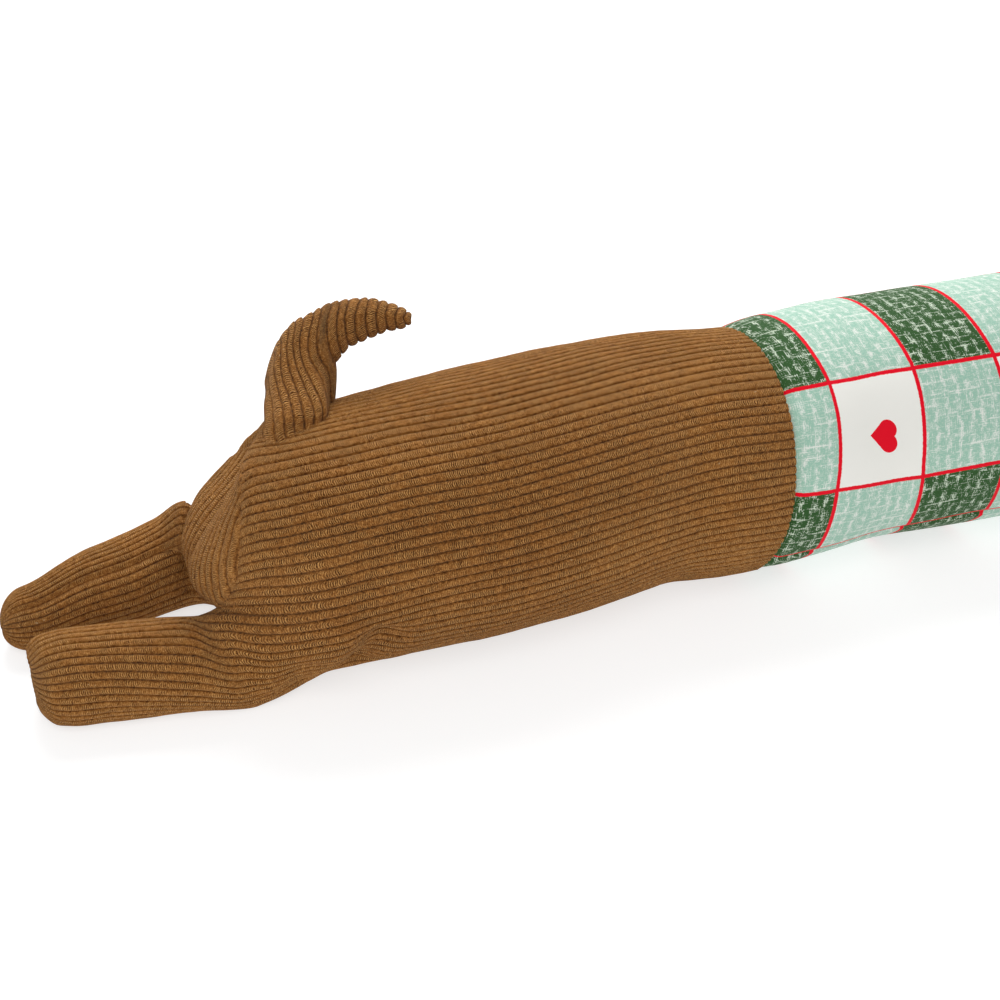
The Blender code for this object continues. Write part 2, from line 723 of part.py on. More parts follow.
def make_front_leg(name, side, tree):
    """A front leg stretched forward from the shoulder, its root cut to lie on the chest."""
    count = 4 * LEG_RIBS + 1
    rows, cores, tip = leg_rows(FRONT_LEG, FRONT_FOOT_X, 0.0, 360.0, FAR, count)
    slant = np.array(SHOULDER_SLANT)
    root = np.array([seated(tree, point, slant, back=0.0, clear=SHOULDER_SEAT) for point in rows[0]])
    elbow = between(2 * root - rows[0], root, rows[0], rows[1], 0.5)
    share = [0.0, 0.5] + [1.0] * (len(rows) - 2) + [0.8, 0.5]
    middle = np.vstack([root.mean(axis=0)[None], elbow.mean(axis=0)[None], cores])
    grid = raise_ribs(np.concatenate([root[None], elbow[None], np.array(rows)]), middle, share)
    grid[:, -1] = grid[:, 0]
    base = seated(tree, root[:-1].mean(axis=0) - slant * 0.02, slant, back=0.0, clear=SHOULDER_SEAT)
    starts = 0.5 * (root + base) - slant * 0.02
    inner = np.array([seated(tree, point, slant, back=0.0, clear=SHOULDER_SEAT) for point in starts])
    mirror = np.array([1.0, side, 1.0])
    solid = Solid()
    grid[0, :, 2] = np.maximum(grid[0, :, 2], 0.0)
    inner[:, 2] = np.maximum(inner[:, 2], 0.0)
    outer = [solid.points(row[:-1] * mirror) for row in grid]
    seat_ring = solid.points(inner[:-1] * mirror)
    rings = [line + line[:1] for line in [seat_ring] + outer]
    solid.skin(rings)
    solid.fan(solid.points(base * mirror), rings[0])
    solid.fan(solid.points(tip * mirror), rings[-1])
    return solid.finish(name, BROWN, 0.9, gap=0.0)


def make_ear(name, side):
    """A flopped ear: a thin ribbed leaf that lies down the side of the head."""
    solid = Solid()
    faces = []
    for lift in (0.0, 1.0):
        lines = []
        for u in np.linspace(0.0, 1.0, EAR_STEPS + 1):
            angle = math.radians(EAR_ROOT_ANGLE + (EAR_TIP_ANGLE - EAR_ROOT_ANGLE) * u)
            width = EAR_HALF_WIDTH * math.sin(math.pi * (0.22 + 0.72 * u)) ** 0.6
            line = []
            for index, v in enumerate(np.linspace(-1.0, 1.0, 2 * EAR_RIBS + 1)):
                section = read_section(FRONT_SECTIONS, SECTION_COLUMNS, EAR_X + width * v)
                spot = section_points(section, np.array([angle]), side)[0]
                out = np.array([0.0, side * math.sin(angle), math.cos(angle)])
                full = math.sqrt(max(1 - v * v, 0.0)) * math.sin(math.pi * (0.1 + 0.86 * u)) ** 0.4
                depth = EAR_RIM + (EAR_THICKNESS - EAR_RIM) * full
                crest = RIB_HEIGHT if index % 2 else 0.0
                away = EAR_SEAT + EAR_HANG * u * u + lift * (depth + crest)
                line.append(spot + out * away)
            lines.append(solid.points(np.array(line)))
        faces.append(lines)
    inner, outer = faces
    solid.skin(inner)
    solid.skin(outer)
    for k in (0, -1):
        solid.skin([inner[k], outer[k]])
        solid.skin([[line[k] for line in inner], [line[k] for line in outer]])
    return solid.finish(name, BROWN, 0.9, gap=0.0)


def make_button(name, centre, outward, radii, tree):
    """A domed button such as an eye or the nose, its back cut to lie on the cloth."""
    outward = np.array(outward, float) / np.linalg.norm(outward)
    side = np.cross([0.0, 0.0, 1.0], outward)
    side /= np.linalg.norm(side)
    top = np.cross(outward, side)
    turns = np.linspace(0.0, 2 * math.pi, BUTTON_SIDES + 1)[:-1]
    ring = np.outer(np.cos(turns), side) * radii[1] + np.outer(np.sin(turns), top) * radii[2]
    solid = Solid()
    centre = np.array(centre)
    rows = []
    for size in (0.5, 1.0):
        spots = [seated(tree, centre + point * size, -outward, clear=BUTTON_SEAT) for point in ring]
        rows.append(np.array(spots))
    for rise in (30.0, 60.0):
        level = centre + outward * radii[0] * math.sin(math.radians(rise))
        rows.append(level + ring * math.cos(math.radians(rise)))
    rows.insert(2, centre + ring)
    rings = [solid.points(row) for row in rows]
    closed = [row + row[:1] for row in rings]
    solid.skin(closed)
    solid.fan(solid.points(seated(tree, centre, -outward, clear=BUTTON_SEAT)), closed[0])
    solid.fan(solid.points(centre + outward * radii[0]), closed[-1])
    return solid.finish(name, BLACK, 0.35, gap=0.0)


def make_face(tree):
    """The eyes and the nose."""
    for name, side in (("eye_near", NEAR), ("eye_far", FAR)):
        section = read_section(FRONT_SECTIONS, SECTION_COLUMNS, EYE_X)
        spot = section_points(section, np.array([math.radians(EYE_ANGLE)]), side)[0]
        outward = np.array([0.35, side * math.sin(math.radians(EYE_ANGLE)), math.cos(math.radians(EYE_ANGLE))])
        make_button(name, spot + outward * 0.002, outward, EYE_RADII, tree)
    make_button("nose", (FRONT_TIP_X, 0.0, NOSE_HEIGHT), (1.0, 0.0, 0.0), NOSE_RADII, tree)


def clear_scene():
    for thing in list(bpy.data.objects):
        bpy.data.objects.remove(thing, do_unlink=True)


def main():
    clear_scene()
    rump = [make_side("rump_side_near", NEAR), make_side("rump_side_far", FAR)]
    seat = make_seat()
    make_leaf("inner_leg_near", NEAR)
    make_leaf("inner_leg_far", FAR)
    make_tail(surface_of(rump + [seat]))
    make_coat()
    front = surface_of([make_front_side("front_side_near", NEAR), make_front_side("front_side_far", FAR)])
    make_front_leg("front_leg_near", NEAR, front)
    make_front_leg("front_leg_far", FAR, front)
    make_ear("ear_near", NEAR)
    make_ear("ear_far", FAR)
    make_face(front)


main()
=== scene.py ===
# Draught excluder in the form of a stuffed dog: chunky corduroy with a printed cotton coat.
# Each cloth piece is a fine grid with its ribs along the columns, closed behind to a core line
# in the filling, so neighbouring pieces meet at their seams.
import math

import bmesh
import bpy
import numpy as np
from mathutils import Matrix, Vector
from mathutils.bvhtree import BVHTree


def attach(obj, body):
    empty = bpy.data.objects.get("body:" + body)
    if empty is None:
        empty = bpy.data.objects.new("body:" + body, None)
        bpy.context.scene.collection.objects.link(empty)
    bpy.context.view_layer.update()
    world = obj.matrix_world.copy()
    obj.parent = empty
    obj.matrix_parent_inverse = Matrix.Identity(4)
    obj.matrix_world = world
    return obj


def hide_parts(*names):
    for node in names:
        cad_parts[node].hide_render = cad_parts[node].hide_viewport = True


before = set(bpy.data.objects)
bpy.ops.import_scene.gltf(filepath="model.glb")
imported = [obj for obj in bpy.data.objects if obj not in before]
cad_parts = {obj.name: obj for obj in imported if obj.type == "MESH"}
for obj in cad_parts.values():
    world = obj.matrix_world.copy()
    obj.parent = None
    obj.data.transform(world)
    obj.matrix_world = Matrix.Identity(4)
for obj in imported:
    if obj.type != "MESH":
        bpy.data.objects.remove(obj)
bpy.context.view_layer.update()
print("frame loaded")

near, far = -1.0, 1.0
ribWidth = 0.0047

# where each rib is sampled across: tight at the groove, loose on the crest
ribSamples = np.array([0.0, 0.06, 0.14, 0.28, 0.5, 0.72, 0.86, 0.94])

# cross sections of the lying tube: x, middle y, half width, height, half flat, roll of the back seam
bodyShape = {
    "rump": np.array([
        (-0.3270, 0.0000, 0.0682, 0.1232, 0.0210, -26.0),
        (-0.2750, 0.0004, 0.0696, 0.1290, 0.0214, -31.0),
        (-0.2350, 0.0000, 0.0713, 0.1322, 0.0214, -35.0),
        (-0.1950, 0.0020, 0.0719, 0.1333, 0.0212, -39.0),
        (-0.1550, 0.0070, 0.0707, 0.1311, 0.0208, -42.0),
        (-0.1320, 0.0092, 0.0697, 0.1291, 0.0207, -42.0),
        (-0.1120, 0.0055, 0.0696, 0.1292, 0.0210, -42.0),
        (-0.0960, 0.0034, 0.0690, 0.1280, 0.0212, -42.0),
        (-0.0816, 0.0031, 0.0682, 0.1264, 0.0223, -42.0),
    ]),
    "coat": np.array([
        (-0.0816, 0.0031, 0.0684, 0.1268, 0.0224, -42.0),
        (-0.0650, 0.0034, 0.0702, 0.1302, 0.0228, -42.0),
        (-0.0350, 0.0052, 0.0708, 0.1312, 0.0230, -42.0),
        (-0.0150, 0.0070, 0.0706, 0.1309, 0.0230, -42.0),
        (0.0300, 0.0040, 0.0710, 0.1316, 0.0230, -42.0),
        (0.1400, 0.0000, 0.0708, 0.1312, 0.0230, -36.0),
        (0.2140, 0.0000, 0.0702, 0.1302, 0.0228, -20.0),
        (0.2290, 0.0000, 0.0684, 0.1268, 0.0224, -16.0),
    ]),
    "front": np.array([
        (0.229, 0.0000, 0.0684, 0.1268, 0.0223, -16.0),
        (0.252, 0.0000, 0.0705, 0.1305, 0.0230, -12.0),
        (0.280, 0.0000, 0.0670, 0.1240, 0.0220, -6.0),
        (0.312, 0.0000, 0.0560, 0.1060, 0.0200, 0.0),
        (0.345, 0.0000, 0.0530, 0.1050, 0.0190, 0.0),
        (0.380, 0.0000, 0.0540, 0.1080, 0.0190, 0.0),
        (0.412, 0.0000, 0.0470, 0.0930, 0.0170, 0.0),
        (0.436, 0.0000, 0.0350, 0.0690, 0.0130, 0.0),
        (0.452, 0.0000, 0.0290, 0.0580, 0.0110, 0.0),
    ]),
    "rearSeam": -0.0816,
    "coatEnd": 0.229,
    "lean": 0.12,  # the coat's rear seam leans to the head by this share of its height
    "leanReach": 0.05,
    "leanHeight": 0.064,
}


# curves and rows

def bell(value):
    return np.exp(-(value ** 2))


def smoothStep(t):
    return t * t * (3 - 2 * t)


def onFloor(points):
    points[..., 2] = np.maximum(points[..., 2], 0.0)
    return points


def bend(start, lead, end, trail, t):
    # from start to end, leaving along lead and arriving along trail
    return ((1 + 2 * t) * (1 - t) ** 2 * start + t * (1 - t) ** 2 * lead
            + smoothStep(t) * end + t * t * (t - 1) * trail)


def runLength(points, axis=0):
    # the length gone along each line of points
    steps = np.linalg.norm(np.diff(points, axis=axis), axis=-1)
    pad = [(0, 0)] * steps.ndim
    pad[axis] = (1, 0)
    return np.pad(np.cumsum(steps, axis=axis), pad)


def readSmooth(xs, ys, at):
    # a smooth curve through the rows ys at xs, read at each of at
    xs, ys, at = np.asarray(xs, float), np.asarray(ys, float), np.asarray(at, float)
    slopes = np.gradient(ys, xs, axis=0)
    k = np.clip(np.searchsorted(xs, at) - 1, 0, len(xs) - 2)
    span = xs[k + 1] - xs[k]
    t = (at - xs[k]) / span
    if ys.ndim > 1:
        span, t = span[..., None], t[..., None]
    return bend(ys[k], span * slopes[k], ys[k + 1], span * slopes[k + 1], t)


def ringPoints(section, angles, side):
    # round a section that lies flat on the floor, 0 at its top
    x, middle, half, height, flat = section[:5]
    contact = math.sqrt(1 - (flat / half) ** 2)
    semi = height / (1 + contact)
    y = middle + side * half * np.sin(angles)
    z = np.maximum(semi * contact + semi * np.cos(angles), 0.0)
    return np.column_stack([np.full(len(angles), x), y, z])


def alongPath(path, shares):
    length = runLength(path)
    wanted = np.asarray(shares) * length[-1]
    return np.column_stack([np.interp(wanted, length, path[:, k]) for k in range(3)])


def arcPoints(section, start, end, side, shares):
    angles = np.radians(np.linspace(start, end, 1441))
    return alongPath(ringPoints(section, angles, side), shares)


def curvePoints(spots, shares):
    spots = np.asarray(spots, float)
    length = runLength(spots)
    return alongPath(onFloor(readSmooth(length, spots, np.linspace(0.0, length[-1], 721))), shares)


def between(before, start, end, after, t):
    # a point on the smooth curve from start to end, led by its neighbours
    return bend(start, 0.5 * (end - before), end, 0.5 * (after - start), t)


def leanAt(points):
    closeness = bell((points[..., 0] - bodyShape["rearSeam"]) / bodyShape["leanReach"])
    return bodyShape["lean"] * closeness * (points[..., 2] - bodyShape["leanHeight"])


def leanToSeam(points):
    points[:, 0] += leanAt(points)
    return points


def sectionAt(name, x):
    table = bodyShape[name]
    return readSmooth(table[:, 0], table, np.array([x]))[0]


def coreOf(section, level=0.5):
    # the point in the filling that a section's cloth closes to
    return np.array([section[0], section[1], level * section[3]])


def coreAt(name, x):
    return coreOf(sectionAt(name, x))


def ribColumns(first, last):
    # the fine columns between two ribs, in rib units
    cells = np.arange(first, last)
    return np.concatenate([(cells[:, None] + ribSamples[None]).ravel(), [last]])


def refine(rows, spacing, keepFrom=0):
    # many smooth rows through a few; the part before row keepFrom only leads the curve in
    rows = np.asarray(rows, float)
    gaps = np.linalg.norm(np.diff(rows, axis=0), axis=2).mean(axis=1)
    place = np.concatenate([[0.0], np.cumsum(np.maximum(gaps, 1e-5))])
    start = place[keepFrom]
    count = max(int(round((place[-1] - start) / spacing)), 2)
    fine = np.linspace(start, place[-1], count + 1)
    shape = (len(fine),) + rows.shape[1:]
    return onFloor(readSmooth(place, rows.reshape(len(rows), -1), fine).reshape(shape)), fine - start


def grow(rows, cores, spacing, keepFrom=0):
    # the cloth's grid, the core line behind it and how far along each row lies
    control = np.array([np.vstack([row, core]) for row, core in zip(rows, cores)])
    fine, place = refine(control, spacing, keepFrom)
    return fine[:, :-1], fine[:, -1], place


def resample(grid, columns, wanted):
    # the same rows with their points slid to other columns
    wanted = np.broadcast_to(wanted, (len(grid), wanted.shape[-1]))
    made = np.empty(wanted.shape + (3,))
    for row, spots, at in zip(made, grid, wanted):
        for k in range(3):
            row[:, k] = np.interp(at, columns, spots[:, k])
    return made


def drift(a, b, seed, count=10):
    # gentle seeded unevenness, about -1 to 1, over lengths of about one unit
    chooser = np.random.default_rng(seed)
    total = np.zeros(np.broadcast(a, b).shape)
    for _ in range(count):
        turn = chooser.uniform(0, 2 * math.pi)
        pace = chooser.uniform(0.45, 1.5)
        phase = chooser.uniform(0, 2 * math.pi)
        total += np.sin((a * math.cos(turn) + b * math.sin(turn)) * pace * 2 * math.pi + phase)
    return total / math.sqrt(2 * count)


# cloth: ribs, seams and folds on a grid

def gridNormals(grid, core):
    along = np.gradient(grid, axis=0)
    across = np.gradient(grid, axis=1)
    normal = np.cross(along, across)
    normal /= np.maximum(np.linalg.norm(normal, axis=2, keepdims=True), 1e-12)
    facing = np.sign(np.sum(normal * (grid - core[:, None, :]), axis=2, keepdims=True))
    return normal * facing


def borderDistance(grid, sides=("top", "bottom", "left", "right")):
    # how far each point is from these seams of its panel, along the cloth
    down, over = runLength(grid, 0), runLength(grid, 1)
    distances = {"top": down, "bottom": down[-1:] - down, "left": over, "right": over[:, -1:] - over}
    return np.minimum.reduce([distances[side] for side in sides])


ribShape = {
    "crest": 0.0009,
    "round": 0.70,
    "groove": 0.0005,
    "grooveWidth": 0.20,
    "uneven": 0.0004,
    "waves": (0.045, 0.018, 0.014),  # lengths of the unevenness, the last two for the fine one
    "fineShare": 0.4,
    "seamFade": 0.0016,
    "seamDip": 0.0012,
    "seamReach": 0.0030,
}


def ribHeight(rib):
    t = np.abs(2 * (rib - np.floor(rib)) - 1)
    groove = ribShape["groove"] * bell((1 - t) / ribShape["grooveWidth"])
    return ribShape["crest"] * (1 - ribShape["round"] * t ** 2) - groove


# a fold keeps its depth along this share of it, then fades; a low swell runs beside it
foldShape = {"even": 0.6, "fade": 0.08, "swell": 0.2, "swellPlace": 1.8}


def foldDepth(place, rib, folds):
    # creases given as (along, rib) to (along, rib), width and depth
    total = np.zeros(np.broadcast(place, rib).shape)
    for startAlong, startRib, endAlong, endRib, width, depth in folds:
        start = np.array([startAlong, startRib * ribWidth])
        line = np.array([endAlong, endRib * ribWidth]) - start
        length = np.linalg.norm(line)
        line /= length
        a, b = place - start[0], rib * ribWidth - start[1]
        run = (a * line[0] + b * line[1]) / length
        off = a * line[1] - b * line[0]
        ends = np.exp(-np.maximum(0.0, np.abs(2 * run - 1) - foldShape["even"]) ** 2 / foldShape["fade"])
        swell = foldShape["swell"] * bell(off / width - foldShape["swellPlace"])
        total += depth * ends * (swell - bell(off / width))
    return total


def keepOnFloor(made, grid):
    made[:, :, 2] = np.where(grid[:, :, 2] < 1e-5, 0.0, np.maximum(made[:, :, 2], 0.0))
    return made


def dress(grid, core, place, rib, reach, folds=(), seed=1):
    # raise the ribs, pull the seams in and lay the folds
    across = rib * ribWidth
    long, fine, fineAcross = ribShape["waves"]
    soft = drift(place / long, across / long, seed)
    soft += ribShape["fineShare"] * drift(place / fine, across / fineAcross, seed + 7)
    lift = ribHeight(rib) + ribShape["uneven"] * soft + foldDepth(place, rib, folds)
    lift = lift * (1 - bell(reach / ribShape["seamFade"]))
    toCore = core[:, None, :] - grid
    toCore /= np.maximum(np.linalg.norm(toCore, axis=2, keepdims=True), 1e-9)
    pull = ribShape["seamDip"] * bell(reach / ribShape["seamReach"])
    return keepOnFloor(grid + gridNormals(grid, core) * lift[:, :, None] + toCore * pull[:, :, None], grid)


def wobble(grid, place, rib, reach, seed, amount=0.07):
    # the ribs wander a little sideways, but not at the seams
    length, ribs, seamReach = 0.06, 5.0, 0.012
    shift = amount * drift(place[:, None] / length, rib[None] / ribs, seed)
    return resample(grid, rib, rib[None] + shift * (1 - bell(reach / seamReach)))


def spreadOver(grid, columns, place):
    # the rib and the place along of every point of a grid
    return np.broadcast_to(columns, grid.shape[:2]), np.broadcast_to(place[:, None], grid.shape[:2])


# meshes

def addGrid(cloth, grid, weave=None):
    rows, columns = grid.shape[:2]
    index = np.arange(rows * columns).reshape(rows, columns) + cloth["total"]
    quads = np.stack([index[:-1, :-1], index[:-1, 1:], index[1:, 1:], index[1:, :-1]], axis=-1)
    cloth["spots"].append(grid.reshape(-1, 3))
    cloth["quads"].append(quads.reshape(-1, 4))
    cloth["weave"].append(np.zeros((rows * columns, 2)) + 0.5 if weave is None else weave.reshape(-1, 2))
    cloth["total"] += rows * columns


def addFan(cloth, tip, edge):
    addGrid(cloth, np.stack([edge, np.repeat(np.asarray(tip)[None], len(edge), axis=0)]))


def closeEnds(cloth, whole, core, ends=(0, -1)):
    for k in ends:
        addFan(cloth, core[k], whole[k])


def closeSides(cloth, whole, core):
    for k in (0, -1):
        addGrid(cloth, np.stack([whole[:, k], core]))


def newCloth():
    return {"spots": [], "quads": [], "weave": [], "total": 0}


def weaveOf(place, rib):
    return np.stack([np.broadcast_to(place, rib.shape) / ribWidth, rib], axis=-1)


def finishCloth(cloth, name, node, material=None):
    spots, quads, weave = (np.concatenate(cloth[key]) for key in ("spots", "quads", "weave"))
    mesh = bpy.data.meshes.new(name)
    mesh.from_pydata(spots.tolist(), [], quads.tolist())
    layer = mesh.uv_layers.new(name="cloth")
    corner = np.empty(len(mesh.loops), np.int32)
    mesh.loops.foreach_get("vertex_index", corner)
    layer.data.foreach_set("uv", weave[corner].ravel())
    work = bmesh.new()
    work.from_mesh(mesh)
    bmesh.ops.remove_doubles(work, verts=work.verts[:], dist=2e-6)
    bmesh.ops.dissolve_degenerate(work, edges=work.edges[:], dist=1e-7)
    bmesh.ops.recalc_face_normals(work, faces=work.faces[:])
    work.to_mesh(mesh)
    work.free()
    piece = bpy.data.objects.new(name, mesh)
    bpy.context.scene.collection.objects.link(piece)
    bpy.ops.object.select_all(action="DESELECT")
    piece.select_set(True)
    bpy.context.view_layer.objects.active = piece
    bpy.ops.object.shade_smooth_by_angle(angle=math.radians(60))
    mesh.materials.append(material or corduroy)
    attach(piece, "root")
    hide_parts(node)
    print(name, len(mesh.polygons), "faces")
    return piece


# materials

def srgb(red, green, blue):
    parts = [c / 255 for c in (red, green, blue)]
    return tuple(((c + 0.055) / 1.055) ** 2.4 if c > 0.04 else c / 12.92 for c in parts) + (1.0,)


def feed(sockets, values):
    # each value is a number, a colour or another node's output
    for socket, value in zip(sockets, values):
        if isinstance(value, bpy.types.NodeSocket):
            socket.id_data.links.new(value, socket)
        else:
            socket.default_value = value


def calc(kind, *values):
    nodes = next(value for value in values if isinstance(value, bpy.types.NodeSocket)).id_data.nodes
    made = nodes.new("ShaderNodeMath")
    made.operation = kind
    feed(made.inputs, values)
    return made.outputs[0]


def plus(first, *others):
    for other in others:
        first = calc("ADD", first, other)
    return first


def times(first, *others):
    for other in others:
        first = calc("MULTIPLY", first, other)
    return first


def minus(first, second):
    return calc("SUBTRACT", first, second)


def weighted(parts, weights):
    return plus(*[times(parts[key], weight) for key, weight in weights.items()])


def offMiddle(value):
    # how far a value is from the middle of its cell, 0 to 0.5
    return calc("ABSOLUTE", minus(calc("FRACT", value), 0.5))


def ease(value, low, high, outLow=0.0, outHigh=1.0):
    made = value.id_data.nodes.new("ShaderNodeMapRange")
    made.interpolation_type = "SMOOTHSTEP"
    names = ("Value", "From Min", "From Max", "To Min", "To Max")
    feed([made.inputs[key] for key in names], (value, low, high, outLow, outHigh))
    return made.outputs["Result"]


def mixColor(share, first, second):
    made = share.id_data.nodes.new("ShaderNodeMix")
    made.data_type = "RGBA"
    feed([made.inputs[k] for k in (0, 6, 7)], (share, first, second))
    return made.outputs[2]


def grain(vector, scale, detail=2.0, roughness=0.5, stretch=None):
    nodes = vector.id_data.nodes
    if stretch:
        spread = nodes.new("ShaderNodeVectorMath")
        spread.operation = "MULTIPLY"
        feed(spread.inputs, (vector, stretch))
        vector = spread.outputs[0]
    made = nodes.new("ShaderNodeTexNoise")
    feed([made.inputs[key] for key in ("Vector", "Scale", "Detail", "Roughness")], (vector, scale, detail, roughness))
    return made.outputs["Fac"]


def newMaterial(name, settings):
    material = bpy.data.materials.new(name)
    material.use_nodes = True
    shader = material.node_tree.nodes["Principled BSDF"]
    for key, value in settings.items():
        shader.inputs[key].default_value = value
    return material, shader


def objectPlace(shader):
    return shader.id_data.nodes.new("ShaderNodeTexCoord").outputs["Object"]


def clothPlace(shader):
    # the cloth's own coordinates, whole and apart
    layer = shader.id_data.nodes.new("ShaderNodeUVMap")
    layer.uv_map = "cloth"
    split = shader.id_data.nodes.new("ShaderNodeSeparateXYZ")
    feed(split.inputs, (layer.outputs["UV"],))
    return layer.outputs["UV"], split.outputs[0], split.outputs[1]


def addBump(shader, height, strength, distance):
    bump = shader.id_data.nodes.new("ShaderNodeBump")
    feed([bump.inputs[key] for key in ("Strength", "Distance", "Height")], (strength, distance, height))
    feed([shader.inputs["Normal"]], [bump.outputs["Normal"]])


corduroyLook = {
    "surface": {
        "Roughness": 0.95, "Specular IOR Level": 0.06,
        "Sheen Weight": 0.14, "Sheen Roughness": 0.5, "Sheen Tint": (0.93, 0.70, 0.42, 1.0),
    },
    "ramp": ((0.0, srgb(70, 38, 12)), (0.33, srgb(140, 90, 42)), (0.74, srgb(209, 155, 90))),
    "lint": srgb(176, 142, 100),
    "crescents": 4.8,  # to a rib's width
    "crescentBow": 1.2,
    "crescentWarp": 1.5,
    "frayed": 0.30,
    # the groove weight darkens the colour toward each groove: partly the pile's own deeper tone there, partly painted
    # shade in the grooves
    "tone": {"crescent": 0.50, "fibre": 0.32, "clumps": 0.16, "nap": 0.24, "groove": -0.23},
    "bump": {"crescent": 0.85, "fibre": 0.42, "clumps": 0.40, "groove": -0.15},
    "bumpStrength": 0.9,
    "bumpDistance": 0.0007,
}


def makeCorduroy():
    look = corduroyLook
    material, shader = newMaterial("corduroy", look["surface"])
    place = objectPlace(shader)
    along, rib = clothPlace(shader)[1:]
    frayed = plus(rib, times(minus(grain(place, 1000.0, 1.0), 0.5), look["frayed"]))
    offCrest = times(offMiddle(frayed), 2.0)
    # the pile parts into short crescents along the middle of each rib
    bow = times(offCrest, offCrest, look["crescentBow"])
    warp = times(grain(place, 330.0, 1.0), look["crescentWarp"])
    phase = plus(times(along, look["crescents"]), bow, warp)
    wave = calc("SINE", times(phase, 2 * math.pi))
    patches = ease(grain(place, 120.0), 0.36, 0.60, 0.30, 1.0)
    parts = {
        "crescent": times(minus(ease(wave, -0.6, 0.8), 0.50), patches, ease(offCrest, 0.40, 0.82, 1.0, 0.0)),
        "fibre": ease(grain(place, 1250.0, 3.0, 0.7), 0.30, 0.70),
        "clumps": ease(grain(place, 520.0, 2.0, 0.6), 0.30, 0.70),
        "nap": grain(place, 26.0, stretch=(0.45, 1.0, 1.0)),
        # nearness to a groove: in the colour partly the pile's deeper tone and partly painted shade, in the bump a real
        # dip
        "groove": ease(offCrest, 0.60, 1.0),
    }
    ramp = shader.id_data.nodes.new("ShaderNodeValToRGB")
    stops = ramp.color_ramp.elements
    stops.new(0.5)
    for stop, (spot, color) in zip(stops, look["ramp"]):
        stop.position, stop.color = spot, color
    feed(ramp.inputs, [weighted(parts, look["tone"])])
    flecks = times(ease(grain(place, 640.0, 0.0), 0.80, 0.84), ease(grain(place, 60.0, 0.0), 0.64, 0.68))
    feed([shader.inputs["Base Color"]], [mixColor(flecks, ramp.outputs[0], look["lint"])])
    addBump(shader, weighted(parts, look["bump"]), look["bumpStrength"], look["bumpDistance"])
    return material


printLook = {
    "surface": {
        "Roughness": 0.85, "Specular IOR Level": 0.15,
        "Sheen Weight": 0.04, "Sheen Roughness": 0.5, "Sheen Tint": (1.0, 1.0, 1.0, 1.0),
    },
    "mint": srgb(149, 188, 169),
    "dark": srgb(44, 80, 38),
    "white": srgb(232, 231, 225),
    "darkFaded": srgb(214, 226, 206),
    "red": srgb(222, 0, 32),
    "step": 0.05,  # the cloth's coordinates are in steps of 50 mm
    "pair": 0.102,  # a white and a green ring together
    "whiteShare": 0.529,
    "period": 0.140,  # one green row and one heart row
    "greenShare": 0.586,
    "halfLine": 0.00118,
    "heart": 0.0080,
    "heartShift": (0.0036, 0.0006),
    "heartTilt": 0.16,
    "heartWidth": 1.13,
    # where the ink skips, in runs along the threads: pace, edges of a run, noise detail and stretch, edges of the noise
    "runs": {
        "columns": (7.4, 0.06, 0.42, 3.0, (20.0, 12.0, 1.0), 0.36, 0.66),
        "rows": (8.6, 0.04, 0.20, 2.0, (3.5, 22.0, 1.0), 0.46, 0.60),
        "fineColumns": (44.0, 0.10, 0.34, 2.0, (26.0, 9.0, 1.0), 0.46, 0.64),
        "fineRows": (44.0, 0.10, 0.34, 2.0, (8.0, 24.0, 1.0), 0.48, 0.66),
    },
    "bend": 0.34,
    "skips": {"broad": 0.66, "fine": 0.52, "speck": 2.4},
}


def inkRuns(uv, across, bend, name):
    pace, inner, outer, detail, stretch, low, high = printLook["runs"][name]
    runs = ease(offMiddle(plus(times(across, pace), bend)), inner, outer, 1.0, 0.0)
    return times(runs, ease(grain(uv, 1.0, detail, stretch=stretch), low, high))


